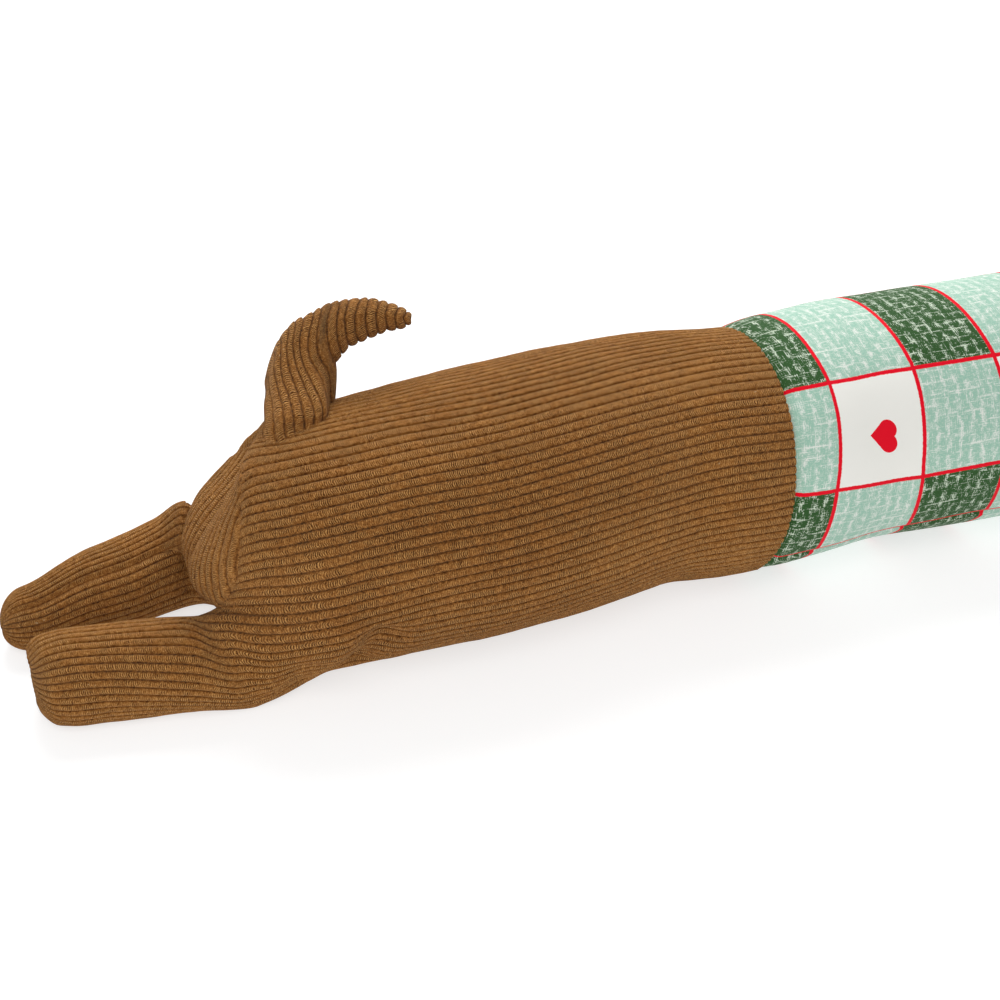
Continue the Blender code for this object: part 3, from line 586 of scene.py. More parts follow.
def makePrint():
    look = printLook
    material, shader = newMaterial("printedCotton", look["surface"])
    uv, along, around = clothPlace(shader)
    edge = minus(grain(uv, 34.0), 0.5)
    fray = plus(times(edge, 0.0008), times(minus(grain(uv, 3.0, 1.0), 0.5), 0.0016))
    ringShare = calc("FRACT", times(along, look["step"] / look["pair"]))
    turns = times(around, look["step"] / look["period"])
    share = calc("FRACT", turns)
    # squares: every second ring green, the taller rows green, dark where they cross
    ringGreen = calc("GREATER_THAN", ringShare, look["whiteShare"])
    rowGreen = calc("LESS_THAN", share, look["greenShare"])
    green = calc("MAXIMUM", ringGreen, rowGreen)
    # a drawn weave: columns of ragged blots, thin long runs and specks
    bend = times(minus(grain(uv, 4.0, 1.0), 0.5), look["bend"])
    parts = {
        "broad": calc("MAXIMUM", inkRuns(uv, along, bend, "columns"), times(inkRuns(uv, around, bend, "rows"), 0.90)),
        "fine": calc("MAXIMUM", inkRuns(uv, along, bend, "fineColumns"), inkRuns(uv, around, bend, "fineRows")),
        "speck": minus(grain(uv, 56.0, 3.0, 0.72), 0.5),
    }
    skip = weighted(parts, look["skips"])
    mintFaded = mixColor(ease(skip, -0.05, 1.0, 0.0, 0.80), look["mint"], look["white"])
    darkFaded = mixColor(ease(skip, 0.26, 0.96, 0.0, 0.84), look["dark"], look["darkFaded"])
    color = mixColor(green, look["white"], mintFaded)
    color = mixColor(times(ringGreen, rowGreen), color, darkFaded)
    # hearts in the white squares, their points to the tail: a tilted square and two discs
    size = look["heart"]
    q = minus(times(minus(ringShare, 0.5 * look["whiteShare"]), look["pair"]), look["heartShift"][1])
    p = plus(times(minus(share, 0.5 * (1 + look["greenShare"])), look["period"]), look["heartShift"][0])
    p = calc("ABSOLUTE", times(plus(p, times(q, look["heartTilt"])), look["heartWidth"]))
    square = calc("LESS_THAN", plus(p, calc("ABSOLUTE", q), fray), size)
    discP, discQ = minus(p, size / 2), minus(q, size / 2)
    fromDisc = calc("SQRT", plus(times(discP, discP), times(discQ, discQ)))
    discs = calc("LESS_THAN", fromDisc, size / math.sqrt(2))
    isHeart = times(calc("MAXIMUM", square, discs), minus(1.0, green))
    # red lines on the borders of the squares
    offWhite = calc("ABSOLUTE", minus(ringShare, look["whiteShare"]))
    offRing = calc("MINIMUM", minus(0.5, calc("ABSOLUTE", minus(ringShare, 0.5))), offWhite)
    offGreen = calc("ABSOLUTE", minus(share, look["greenShare"]))
    offRow = calc("MINIMUM", offMiddle(plus(turns, 0.5)), offGreen)
    nearest = calc("MINIMUM", times(offRing, look["pair"]), times(offRow, look["period"]))
    nearest = plus(nearest, times(edge, 0.0007))
    lines = ease(nearest, look["halfLine"] * 0.80, look["halfLine"] * 1.15, 1.0, 0.0)
    color = mixColor(calc("MAXIMUM", lines, isHeart), color, look["red"])
    feed([shader.inputs["Base Color"]], [color])
    threads = [calc("SINE", times(across, 2 * math.pi * 66)) for across in (along, around)]
    addBump(shader, plus(times(*threads), times(grain(uv, 90.0), 1.5)), 0.3, 0.0002)
    return material


buttonLook = {"color": srgb(20, 17, 15), "worn": srgb(30, 26, 23)}


def makeButtonPlastic():
    material, shader = newMaterial("buttonPlastic", {"Coat Weight": 0.3})
    place = objectPlace(shader)
    shade = ease(grain(place, 220.0, 3.0), 0.3, 0.7)
    gloss = ease(grain(place, 500.0), 0.3, 0.7, 0.16, 0.30)
    feed([shader.inputs["Base Color"]], [mixColor(shade, buttonLook["color"], buttonLook["worn"])])
    feed([shader.inputs["Roughness"]], [gloss])
    return material


corduroy = makeCorduroy()
printedCotton = makePrint()
buttonPlastic = makeButtonPlastic()
print("materials made")


# back half: two sides with their outer legs, seat and inner legs

rumpPlan = {
    "width": 36,  # the panel's own columns, from the back seam to the belly seam
    "seatWidth": 21,
    "ribs": 52,
    "seatRibs": 30,
    "firstWhole": 13,  # ribs before this one run out into the back seam
    # where ribs cross the near side: distance from the coat, then the column of each rib below
    "ribStops": (13, 15, 17, 19, 21, 23, 25, 27, 29, 30, 31, 32, 33, 35, 43, 52),
    "ribPaths": (
        (0.000, 9.2, 10.9, 12.6, 14.4, 16.1, 17.8, 19.4, 21.0, 22.5, 23.2, 24.0, 24.8, 25.5, 27.2, 33.4, 36.0),
        (0.030, 9.6, 11.2, 12.9, 14.6, 16.3, 17.9, 19.5, 21.1, 22.6, 23.4, 24.2, 25.0, 25.7, 27.2, 33.4, 36.0),
        (0.060, 10.2, 11.9, 13.6, 15.2, 16.8, 18.4, 20.0, 21.6, 23.2, 23.9, 24.7, 25.5, 26.2, 27.7, 33.7, 36.0),
        (0.095, 10.5, 12.0, 13.6, 15.2, 16.8, 18.4, 19.9, 21.5, 23.0, 23.8, 24.5, 25.3, 26.1, 27.7, 33.8, 36.0),
        (0.130, 10.1, 11.6, 13.2, 14.8, 16.4, 17.9, 19.4, 21.0, 22.5, 23.3, 24.1, 24.9, 25.8, 27.4, 33.7, 36.0),
        (0.165, 9.3, 10.9, 12.5, 14.1, 15.7, 17.3, 18.8, 20.4, 22.0, 22.8, 23.5, 24.3, 25.1, 26.8, 33.4, 36.0),
        (0.200, 8.0, 9.8, 11.5, 13.2, 14.7, 16.3, 17.9, 19.5, 21.2, 22.0, 22.8, 23.6, 24.4, 26.1, 32.9, 36.0),
        (0.230, 6.9, 8.9, 10.7, 12.4, 14.0, 15.6, 17.2, 18.8, 20.5, 21.4, 22.3, 23.2, 24.0, 25.6, 32.4, 36.0),
        (0.250, 6.2, 8.2, 10.1, 11.8, 13.5, 15.1, 16.7, 18.4, 20.1, 20.9, 21.8, 22.7, 23.6, 25.4, 32.0, 36.0),
        (0.265, 5.4, 7.6, 9.5, 11.2, 12.9, 14.5, 16.1, 17.9, 19.9, 20.8, 21.9, 22.9, 23.8, 25.7, 31.7, 36.0),
        (0.278, 4.7, 7.1, 9.0, 10.7, 12.3, 13.8, 15.4, 17.1, 19.2, 20.4, 21.6, 22.6, 23.6, 25.6, 31.5, 36.0),
        (0.287, 4.2, 7.0, 8.9, 10.5, 12.0, 13.5, 15.0, 16.7, 18.6, 19.9, 21.2, 22.2, 23.1, 24.9, 31.3, 36.0),
    ),
    "columnsToRib": 0.75,
    "steps": (-0.0816, -0.086, -0.098, -0.113, -0.132, -0.154, -0.178, -0.205, -0.235, -0.262, -0.285, -0.308, -0.327),
    "turns": (0.28, 0.52, 0.76),
    "pastEnd": 0.4,  # how far the rows would go on past the seat seam
    "pastEndLift": 0.008,
    "rowSpacing": 0.0022,
    "seatSeam": {
        near: ((-0.334, 0.030, 0.1056), (-0.3435, 0.015, 0.1137), (-0.350, 0.000, 0.1150), (-0.355, -0.018, 0.1090),
               (-0.3595, -0.032, 0.0995), (-0.363, -0.039, 0.0860), (-0.3659, -0.0391, 0.0724),
               (-0.3715, -0.0352, 0.0608), (-0.3735, -0.0285, 0.0508)),
        far: ((-0.334, 0.030, 0.1056), (-0.339, 0.043, 0.0970), (-0.347, 0.054, 0.0835), (-0.356, 0.058, 0.0730),
              (-0.3645, 0.055, 0.0650), (-0.3715, 0.047, 0.0575), (-0.3735, 0.038, 0.0480)),
    },
    "legRoot": {
        near: ((-0.3735, -0.0285, 0.0508), (-0.3752, -0.0330, 0.0495), (-0.3750, -0.0390, 0.0462),
               (-0.373, -0.0455, 0.0395), (-0.369, -0.0510, 0.0290), (-0.365, -0.051, 0.0130),
               (-0.362, -0.043, 0.0), (-0.361, -0.032, 0.0)),
        far: ((-0.3735, 0.038, 0.0480), (-0.3735, 0.046, 0.0550), (-0.3715, 0.055, 0.0590), (-0.3700, 0.065, 0.0535),
              (-0.367, 0.0735, 0.0370), (-0.361, 0.0715, 0.0150), (-0.356, 0.0600, 0.0), (-0.350, 0.048, 0.0)),
    },
    "crotch": ((-0.367, 0.005, 0.0310), (-0.351, 0.008, 0.0140), (-0.339, 0.006, 0.0)),
    # from along and rib to along and rib, width, depth
    "folds": {near: ((0.221, 35.0, 0.243, 45.0, 0.0110, 0.0075), (0.262, 37.0, 0.270, 45.0, 0.0130, 0.0026)), far: ()},
}

# sections of the stretched legs: x, middle y, half width, height, half flat
legPlan = {
    "topSeam": -36.0,
    "bottomSeam": 170.0,
    "coreLevels": (0.28, 0.4, 0.5, 0.5),
    "leafRibs": 14,
    near: ((-0.390, -0.0252, 0.0240, 0.0438, 0.0110), (-0.405, -0.0222, 0.0240, 0.0443, 0.0110),
           (-0.430, -0.0177, 0.0238, 0.0445, 0.0108), (-0.4525, -0.0140, 0.0230, 0.0432, 0.0104)),
    far: ((-0.390, 0.0580, 0.0238, 0.0460, 0.0104), (-0.405, 0.0545, 0.0235, 0.0436, 0.0106),
          (-0.430, 0.0512, 0.0212, 0.0400, 0.0096), (-0.4580, 0.0470, 0.0169, 0.0314, 0.0074)),
    "innerStart": {near: (-0.3790, -0.0275, 0.0232, 0.0430, 0.0110), far: (-0.3770, 0.0605, 0.0240, 0.0462, 0.0104)},
    "footTip": {near: -0.4640, far: -0.4742},
    "blunt": {near: 0.80, far: 0.32},  # height of the seam at the foot's end
    "rowSpacing": 0.0020,
    "settle": 0.085,  # over this length the leg's ribs even out
    "sag": {near: 0.020, far: 0.0},
    "sagPlace": 0.016,
}


# the rows from a leg's last section to the foot's end, how full it stays and how far its core goes
footPlan = {"turns": (24.0, 44.0, 60.0, 74.0, 84.0, 90.0), "full": 0.85, "coreReach": 0.55}


def halfRow(name, x, side, shares):
    section = sectionAt(name, x)
    turn = shares if side == near else 1 - shares
    return leanToSeam(arcPoints(section, section[5], section[5] + 360.0, near, turn))


def footRows(section, tipX, start, end, side, shares, blunt):
    # a foot closes like a mitten: it thins to a seam that runs round its end
    reach = section[0] - tipX
    ring = arcPoints(section, start, end, side, shares)
    down = 1 - np.abs(2 * shares - 1) if abs(end - start) == 360.0 else shares
    top, bottom = ring[0], ring[int(np.argmax(down))]
    seam = 0.5 * (top + bottom)
    size = 0.5 * np.linalg.norm(top - bottom)
    rise = (top - bottom)[1:] / (2 * size)
    across = np.array([-rise[1], rise[0]])
    level, out = (ring - seam)[:, 1:] @ rise, (ring - seam)[:, 1:] @ across
    rows, cores = [], []
    for turn in footPlan["turns"]:
        t = math.sin(math.radians(turn))
        thin = math.cos(math.radians(turn)) ** footPlan["full"] if turn < 90 else 0.0
        tall = blunt + (1 - blunt) * math.sqrt(1 - t ** 3)
        spot = np.tile(seam, (len(shares), 1))
        height = (level + (size * (1 - 2 * down) - level) * t * t) * tall
        spot[:, 1:] += height[:, None] * rise + (out * thin)[:, None] * across
        spot[:, 0] -= reach * t
        rows.append(onFloor(spot))
        cores.append(seam - np.array([footPlan["coreReach"] * reach * t, 0.0, 0.0]))
    return rows, cores


def legRows(side, start, end, shares):
    rows = [arcPoints(section, start, end, side, shares) for section in legPlan[side]]
    cores = [coreOf(section, level) for section, level in zip(legPlan[side], legPlan["coreLevels"])]
    tip, blunt = legPlan["footTip"][side], legPlan["blunt"][side]
    endRows, endCores = footRows(legPlan[side][-1], tip, start, end, side, shares, blunt)
    return rows + endRows, cores + endCores


def rumpRows(side, columns):
    width, seatWidth = rumpPlan["width"], rumpPlan["seatWidth"]
    onSeat = columns <= seatWidth
    legShares = (columns[~onSeat] - seatWidth) / (width - seatWidth)
    seat = curvePoints(rumpPlan["seatSeam"][side], columns[onSeat] / seatWidth)
    end = np.vstack([seat, curvePoints(rumpPlan["legRoot"][side], legShares)])
    body = [halfRow("rump", x, side, columns / (2 * width)) for x in rumpPlan["steps"]]
    after = end + rumpPlan["pastEnd"] * (end - body[-1]) + np.array([rumpPlan["pastEndLift"], 0.0, 0.0])
    after[~onSeat] = arcPoints(legPlan[side][0], legPlan["topSeam"], legPlan["bottomSeam"], side, legShares)
    turning = [onFloor(between(body[-2], body[-1], end, after, t)) for t in rumpPlan["turns"]]
    return body, turning, end


def sideColumns():
    # columns to make, in ribs: closer ones where ribs run out into the back seam
    first = rumpPlan["firstWhole"]
    return np.concatenate([np.arange(first * 12) / 12.0, ribColumns(first, rumpPlan["ribs"])])


def ribPlaces(side, made, place):
    # the panel column of each made column on each row, and the rib it shows
    width, seatWidth, ribs, seatRibs = (rumpPlan[key] for key in ("width", "seatWidth", "ribs", "seatRibs"))
    if side == far:
        column = np.interp(made, (0, seatRibs, ribs), (0, seatWidth, width))
        return tuple(np.broadcast_to(row, (len(place), len(made))) for row in (column, made))
    paths = np.array(rumpPlan["ribPaths"])
    stops = np.array(rumpPlan["ribStops"], float)
    atRow = readSmooth(paths[:, 0], paths[:, 1:], np.clip(place, 0.0, paths[-1, 0]))
    first = rumpPlan["firstWhole"]
    column = np.empty((len(place), len(made)))
    rib = np.broadcast_to(made, column.shape).copy()
    for i, row in enumerate(atRow):
        late = made >= first
        column[i, late] = readSmooth(stops, row, made[late])
        column[i, ~late] = row[0] * made[~late] / first
        rib[i, ~late] = first - row[0] * (1 - made[~late] / first) / rumpPlan["columnsToRib"]
    return column, rib


def makeRumpSide(side, name, node):
    ribs, seatRibs, width, seatWidth = (rumpPlan[key] for key in ("ribs", "seatRibs", "width", "seatWidth"))
    base = np.linspace(0, width, width * 10 + 1)
    body, turning, end = rumpRows(side, base)
    hub = coreAt("rump", rumpPlan["steps"][-1])
    cores = [coreAt("rump", x) for x in rumpPlan["steps"]] + [hub] * (len(turning) + 1)
    fine, core, place = grow(body + turning + [end], cores, rumpPlan["rowSpacing"])
    columns = sideColumns()
    column, rib = ribPlaces(side, columns, place)
    grid = resample(fine, base, column)

    # the outer leg goes on from the columns past the crotch
    first = int(np.searchsorted(columns, seatRibs))
    legWidth = width - seatWidth
    legBase = np.linspace(0.0, 1.0, legWidth * 10 + 1)
    rows, legCores = legRows(side, legPlan["topSeam"], legPlan["bottomSeam"], legBase)
    lead = [row[seatWidth * 10:] for row in turning[-2:] + [end]]
    legFine, legCore, legPlace = grow(lead + rows, [hub] * len(lead) + legCores, legPlan["rowSpacing"], keepFrom=2)
    rootShare = (column[-1, first:] - seatWidth) / legWidth
    evenShare = (columns[first:] - seatRibs) / (ribs - seatRibs)
    settle = smoothStep(np.clip(legPlace / legPlan["settle"], 0.0, 1.0))[:, None]
    sagging = legPlace / legPlan["sagPlace"]
    sagging = (legPlan["sag"][side] * sagging * np.exp(1 - sagging))[:, None] * np.sin(math.pi * evenShare)
    legGrid = resample(legFine, legBase, rootShare + (evenShare - rootShare) * settle + sagging)
    legGrid[0] = grid[-1, first:]

    crotch = grid[-1, first].copy()
    seamReach = borderDistance(grid, ("left", "right"))
    reach = np.where(columns <= seatRibs, np.minimum(seamReach, borderDistance(grid, ("bottom",))), seamReach)
    reach = np.minimum(reach, np.linalg.norm(grid - crotch, axis=2))
    legReach = np.minimum(borderDistance(legGrid, ("left", "right")), np.linalg.norm(legGrid - crotch, axis=2))
    grid = wobble(grid, place, columns, reach, 11 if side == near else 12, amount=0.03)
    legRib, legDown = spreadOver(legGrid, columns[first:], place[-1] + legPlace)
    down = spreadOver(grid, columns, place)[1]
    whole = dress(grid, core, down, rib, reach, rumpPlan["folds"][side], seed=21)
    legWhole = dress(legGrid, legCore, legDown, legRib, legReach, rumpPlan["folds"][side], seed=21)
    legWhole[0] = whole[-1, first:]

    cloth = newCloth()
    addGrid(cloth, whole, weaveOf(down, rib))
    addGrid(cloth, legWhole, weaveOf(legDown, legRib))
    addFan(cloth, core[0], whole[0])
    closeSides(cloth, whole, core)
    closeSides(cloth, legWhole, legCore)
    addFan(cloth, hub, whole[-1, : first + 1])
    addFan(cloth, legCore[-1], legWhole[-1])
    return finishCloth(cloth, name, node)


def makeInnerLeg(side, name, node):
    ribs = legPlan["leafRibs"]
    columns = ribColumns(0, ribs)
    body, turning, end = rumpRows(side, np.array([0.0, rumpPlan["seatWidth"], rumpPlan["width"]]))
    hub = coreAt("rump", rumpPlan["steps"][-1])
    belly = [body[-1][-1]] + [row[-1] for row in turning] + [end[-1]]
    crotch = curvePoints(rumpPlan["crotch"] + (tuple(belly[0]),), np.linspace(0, 1, 7))
    top = end[1]
    edge = [top, 0.5 * (top + crotch[0])] + list(crotch[:-1]) + belly
    fill = 2 * ribs + 1 - len(edge)
    front = []
    for a, b in zip(edge, edge[1:]):
        front.append(a)
        if len(front) > 2 and fill > 0:
            front.append(0.5 * (a + b))
            fill -= 1
    front = np.array(front + [edge[-1]])
    row = np.column_stack([np.interp(2 * columns, np.arange(len(front)), front[:, k]) for k in range(3)])
    seams = legPlan["topSeam"], legPlan["bottomSeam"] - 360.0
    rows, cores = legRows(side, *seams, columns / ribs)
    rows = [row, arcPoints(legPlan["innerStart"][side], *seams, side, columns / ribs)] + rows
    cores = [hub, 0.5 * (hub + cores[0])] + cores
    grid, core, place = grow(rows, cores, legPlan["rowSpacing"])
    rib, down = spreadOver(grid, columns, place)
    whole = dress(grid, core, down, rib, borderDistance(grid, ("top", "left", "right")), seed=33)
    cloth = newCloth()
    addGrid(cloth, whole, weaveOf(down, rib))
    closeEnds(cloth, whole, core)
    closeSides(cloth, whole, core)
    return finishCloth(cloth, name, node)


seatPlan = {
    "crown": 0.0205,
    "crownLean": (0.95, 1.6),  # where the bulge is highest, across and down
    "crownFullness": (0.85, 1.2),
    "ribShare": 0.84,  # its ribs lie stretched over the bulge
    "ribsFrom": 0.82,  # they run beside this line of it and end in the near seam
    "sideWidth": 8,
    "columns": 190,
    "rows": 200,
    "folds": ((0.058, 0.3, 0.100, 0.3, 0.0022, 0.0022),),
}


def makeSeat():
    sideWidth, seatWidth = seatPlan["sideWidth"], rumpPlan["seatWidth"]
    t = np.linspace(0.0, 1.0, seatPlan["columns"] + 1)
    columns = (2 * t - 1) * sideWidth
    share = sideWidth / seatWidth
    nearUp = curvePoints(rumpPlan["seatSeam"][near], -columns[columns < 0] / seatWidth)
    farUp = curvePoints(rumpPlan["seatSeam"][far], columns[columns >= 0] / seatWidth)
    upper = np.vstack([nearUp, farUp])
    down = np.linspace(share, 1.0, seatPlan["rows"] + 1)
    left = curvePoints(rumpPlan["seatSeam"][near], down)
    right = curvePoints(rumpPlan["seatSeam"][far], down)
    crotch = np.array(rumpPlan["crotch"][0])
    half = 2 * t[:, None]
    lower = np.where(half < 1, left[-1] + (crotch - left[-1]) * half, crotch + (right[-1] - crotch) * (half - 1))
    u, v = t[None, :, None], np.linspace(0, 1, len(left))[:, None, None]
    grid = (1 - v) * upper[None] + v * lower[None] + (1 - u) * left[:, None] + u * right[:, None]
    grid -= (1 - u) * ((1 - v) * upper[0] + v * lower[0]) + u * ((1 - v) * upper[-1] + v * lower[-1])
    lean, fullness = seatPlan["crownLean"], seatPlan["crownFullness"]
    bulge = np.sin(math.pi * u ** lean[0]) ** fullness[0] * np.abs(np.sin(math.pi * v ** lean[1])) ** fullness[1]
    grid[:, :, 0] -= seatPlan["crown"] * bulge[:, :, 0]
    hub = coreAt("rump", rumpPlan["steps"][-1])
    core = np.repeat(hub[None], len(grid), axis=0)
    # ribs run down beside the far seam and are cut off by the near one
    over = runLength(grid, 1)
    rib = (over - over[:, int(seatPlan["ribsFrom"] * len(t))][:, None]) / ribWidth * seatPlan["ribShare"]
    down = spreadOver(grid, t, runLength(grid).mean(axis=1))[1]
    whole = dress(grid, core, down, rib, borderDistance(grid), seatPlan["folds"], seed=41)
    cloth = newCloth()
    addGrid(cloth, whole, weaveOf(down, rib))
    for edge in (whole[0], whole[-1], whole[:, 0], whole[:, -1]):
        addFan(cloth, hub, edge)
    return finishCloth(cloth, "seatPanel", "seat_panel")


makeRumpSide(near, "rumpNear", "rump_side_near")
makeRumpSide(far, "rumpFar", "rump_side_far")
makeSeat()
makeInnerLeg(near, "innerLegNear", "inner_leg_near")
makeInnerLeg(far, "innerLegFar", "inner_leg_far")
print("back half made")


# tail

tailPlan = {
    "root": (-0.3145, 0.0320, 0.1150),
    "lean": math.radians(25.0),
    "halfThickness": 0.0145,
    "tipThickness": 0.45,
    "fullRib": 2.5,  # from this rib on the tail is at its full thickness
    # how far the near side stands out where it is sewn down, by rib
    "spread": (
        (-4.0, -3.0, -2.0, -1.0, 0.0, 1.0, 2.0, 3.0, 5.0, 6.0, 7.0, 7.5, 7.8, 8.0),
        (0.0, 0.0075, 0.0140, 0.0195, 0.0240, 0.0325, 0.0335, 0.0330, 0.0315, 0.0295, 0.0262, 0.0200, 0.0120, 0.0),
    ),
    "rearRibs": 4,  # ribs round the back of its foot
    "lag": 0.40,  # the back of the foot slants forward to the far side by this share
    "spreadReach": 0.022,
    "hornFrom": 7.0,  # past this rib it stands free and its section turns round
    "lagRibs": 5.0,
    "uneven": 0.0004,
    "tuck": 0.0022,
    "tuckLevel": -0.0020,
    "tuckReach": 0.0028,
    "crest": 1.6,  # its ribs stand rounder than the body's
    "edgeReach": 0.004,
    "rows": 46,
    # the grooves between its ribs, in mm on the tail's own plane, from the foot or inner edge out
    "grooves": (
        ((-22.5, -9.2), (-22.0, -2.8), (-19.6, 3.5), (-17.4, 9.7), (-14.2, 15.5), (-11.6, 21.6)),
        ((-17.6, -8.6), (-17.5, -2.1), (-16.4, 4.3), (-14.5, 10.6), (-13.4, 17.0), (-11.4, 23.0)),
        ((-12.6, -6.5), (-12.3, 1.7), (-11.0, 9.8), (-10.2, 18.0), (-9.2, 26.3), (-5.9, 33.7)),
        ((-7.6, -5.9), (-7.3, 3.3), (-6.5, 12.5), (-6.9, 21.6), (-5.0, 30.6), (-1.9, 39.3)),
        ((-2.7, -5.5), (-2.1, 4.5), (-1.8, 14.5), (-2.3, 24.5), (-1.2, 34.5), (2.8, 43.5)),
        ((1.8, -4.9), (3.3, 5.5), (2.4, 16.0), (1.4, 26.6), (2.5, 37.1), (7.0, 46.6)),
        ((6.5, -3.5), (8.2, 7.0), (6.6, 17.4), (4.9, 27.9), (6.3, 38.5), (11.3, 47.6)),
        ((9.9, -3.0), (11.9, 7.8), (12.0, 18.8), (9.1, 29.4), (11.5, 40.2), (16.8, 49.5)),
        ((17.4, -3.3), (16.9, 8.0), (17.4, 19.3), (13.9, 29.8), (15.7, 41.0), (20.9, 50.9)),
        ((24.3, 22.4), (20.9, 28.1), (19.7, 34.4), (20.3, 41.0), (22.2, 47.0), (26.3, 52.3)),
        ((27.4, 27.0), (25.3, 32.0), (25.0, 37.5), (25.7, 42.9), (27.5, 48.0), (30.7, 52.6)),
        ((31.7, 30.9), (30.0, 35.5), (29.8, 40.2), (30.3, 44.9), (32.3, 49.2), (35.8, 53.0)),
        ((36.9, 32.0), (35.0, 36.3), (34.9, 40.7), (35.7, 45.1), (37.8, 49.0), (41.3, 52.4)),
        ((42.1, 33.3), (41.0, 37.3), (40.7, 41.1), (41.1, 44.8), (42.8, 48.2), (45.6, 51.6)),
        ((47.5, 34.4), (46.5, 37.9), (46.3, 41.2), (46.6, 44.3), (48.3, 47.2), (51.0, 49.9)),
        ((52.3, 35.9), (51.6, 38.7), (51.4, 41.3), (51.5, 43.7), (53.0, 45.9), (55.3, 47.9)),
        ((57.7, 35.2), (56.5, 37.7), (56.2, 39.9), (56.4, 41.9), (57.8, 43.7), (60.1, 45.3)),
        ((62.9, 35.9), (61.6, 37.5), (61.0, 39.0), (61.0, 40.3), (62.1, 41.4), (64.0, 42.4)),
        ((66.1, 38.0), (66.1, 38.2), (66.2, 38.4), (66.2, 38.6), (66.2, 38.8), (66.3, 39.0)),
    ),
}


def tailOutline(grooves, columns, share):
    # the tail's own plane: a line of points for each column, and its ways out at both edges
    stops = grooves.shape[1]
    lines = readSmooth(np.arange(len(grooves)), grooves.reshape(len(grooves), -1), np.maximum(columns, 0.0))
    lines = lines.reshape(len(columns), stops, 2)
    flat = readSmooth(np.linspace(0, 1, stops), lines.transpose(1, 0, 2).reshape(stops, -1), share)
    outward, inward = lines[:, -1] - lines[:, -2], lines[:, 0] - lines[:, 1]
    for way in (outward, inward):
        way /= np.maximum(np.linalg.norm(way, axis=1, keepdims=True), 1e-6)
    return flat.reshape(len(share), len(columns), 2).transpose(1, 0, 2), outward[:, None], inward[:, None]


def makeTail():
    grooves = np.array(tailPlan["grooves"]) / 1000
    ribs = len(grooves) - 1
    columns = ribColumns(-tailPlan["rearRibs"], ribs)
    share = np.linspace(0.0, 1.0, tailPlan["rows"] + 1)
    flat, outward, inward = tailOutline(grooves, columns, share)
    rib, s = columns[:, None], share[None]
    height = tailPlan["crest"] * ribHeight(rib) + tailPlan["uneven"] * drift(rib / 4.0, s * 1.5, 45)
    turn = smoothStep(np.clip(rib - tailPlan["hornFrom"], 0.0, 1.0))
    bow = (1 - turn) * np.sqrt(1 - s ** 3) + turn * np.sqrt(np.maximum(1 - (2 * s - 1) ** 2, 0.0))
    half = tailPlan["halfThickness"] * (1 - (1 - tailPlan["tipThickness"]) * rib / ribs)
    half = half * np.sqrt(1 - (1 - np.clip(rib / tailPlan["fullRib"], 0.0, 1.0)) ** 2)
    half = half * np.sqrt(1 - np.clip(0.5 * (rib - ribs + 2), 0.0, 1.0) ** 2)
    edge = height * np.minimum(half / tailPlan["edgeReach"], 1.0)
    flat = flat + outward * (edge * s ** 6)[:, :, None] + inward * (edge * turn * (1 - s) ** 6)[:, :, None]
    spread = np.interp(rib, *tailPlan["spread"])
    climb = bell(np.maximum(flat[:, :, 1], 0.0) / tailPlan["spreadReach"])
    extra = np.maximum(spread - half, 0.0) * climb * (1 - s * s) * (1 - turn)
    tuck = bell((flat[:, :, 1] - tailPlan["tuckLevel"]) / tailPlan["tuckReach"])
    extra -= tailPlan["tuck"] * tuck * np.clip(spread / 0.02, 0.0, 1.0)
    lean = tailPlan["lean"]
    up, thick = np.array([0.0, math.sin(lean), math.cos(lean)]), np.array([0.0, math.cos(lean), -math.sin(lean)])
    plane = np.array(tailPlan["root"]) + flat[:, :, :1] * np.array([1.0, 0.0, 0.0]) + flat[:, :, 1:] * up
    nearOut = ((half + height) * bow + extra)[int(np.searchsorted(columns, 0.0))]
    lagging = tailPlan["lag"] * (1 - s * s) * np.clip(1 - rib / tailPlan["lagRibs"], 0.0, 1.0)
    weave = weaveOf(runLength(flat, 1), np.broadcast_to(rib, height.shape))
    cloth = newCloth()
    faces = []
    for side in (near, far):
        out = (half + height) * bow + (extra if side == near else 0.0)
        face = plane + side * thick * out[:, :, None]
        face[:, :, 0] += lagging * np.maximum(nearOut[None] + side * out, 0.0)
        addGrid(cloth, face, weave)
        faces.append(face)
    addGrid(cloth, np.stack([face[:, 0] for face in faces]))
    for k in (0, -1):
        addGrid(cloth, np.stack([face[k] for face in faces]))
    return finishCloth(cloth, "tailHorn", "tail")


makeTail()
print("tail made")


# printed coat

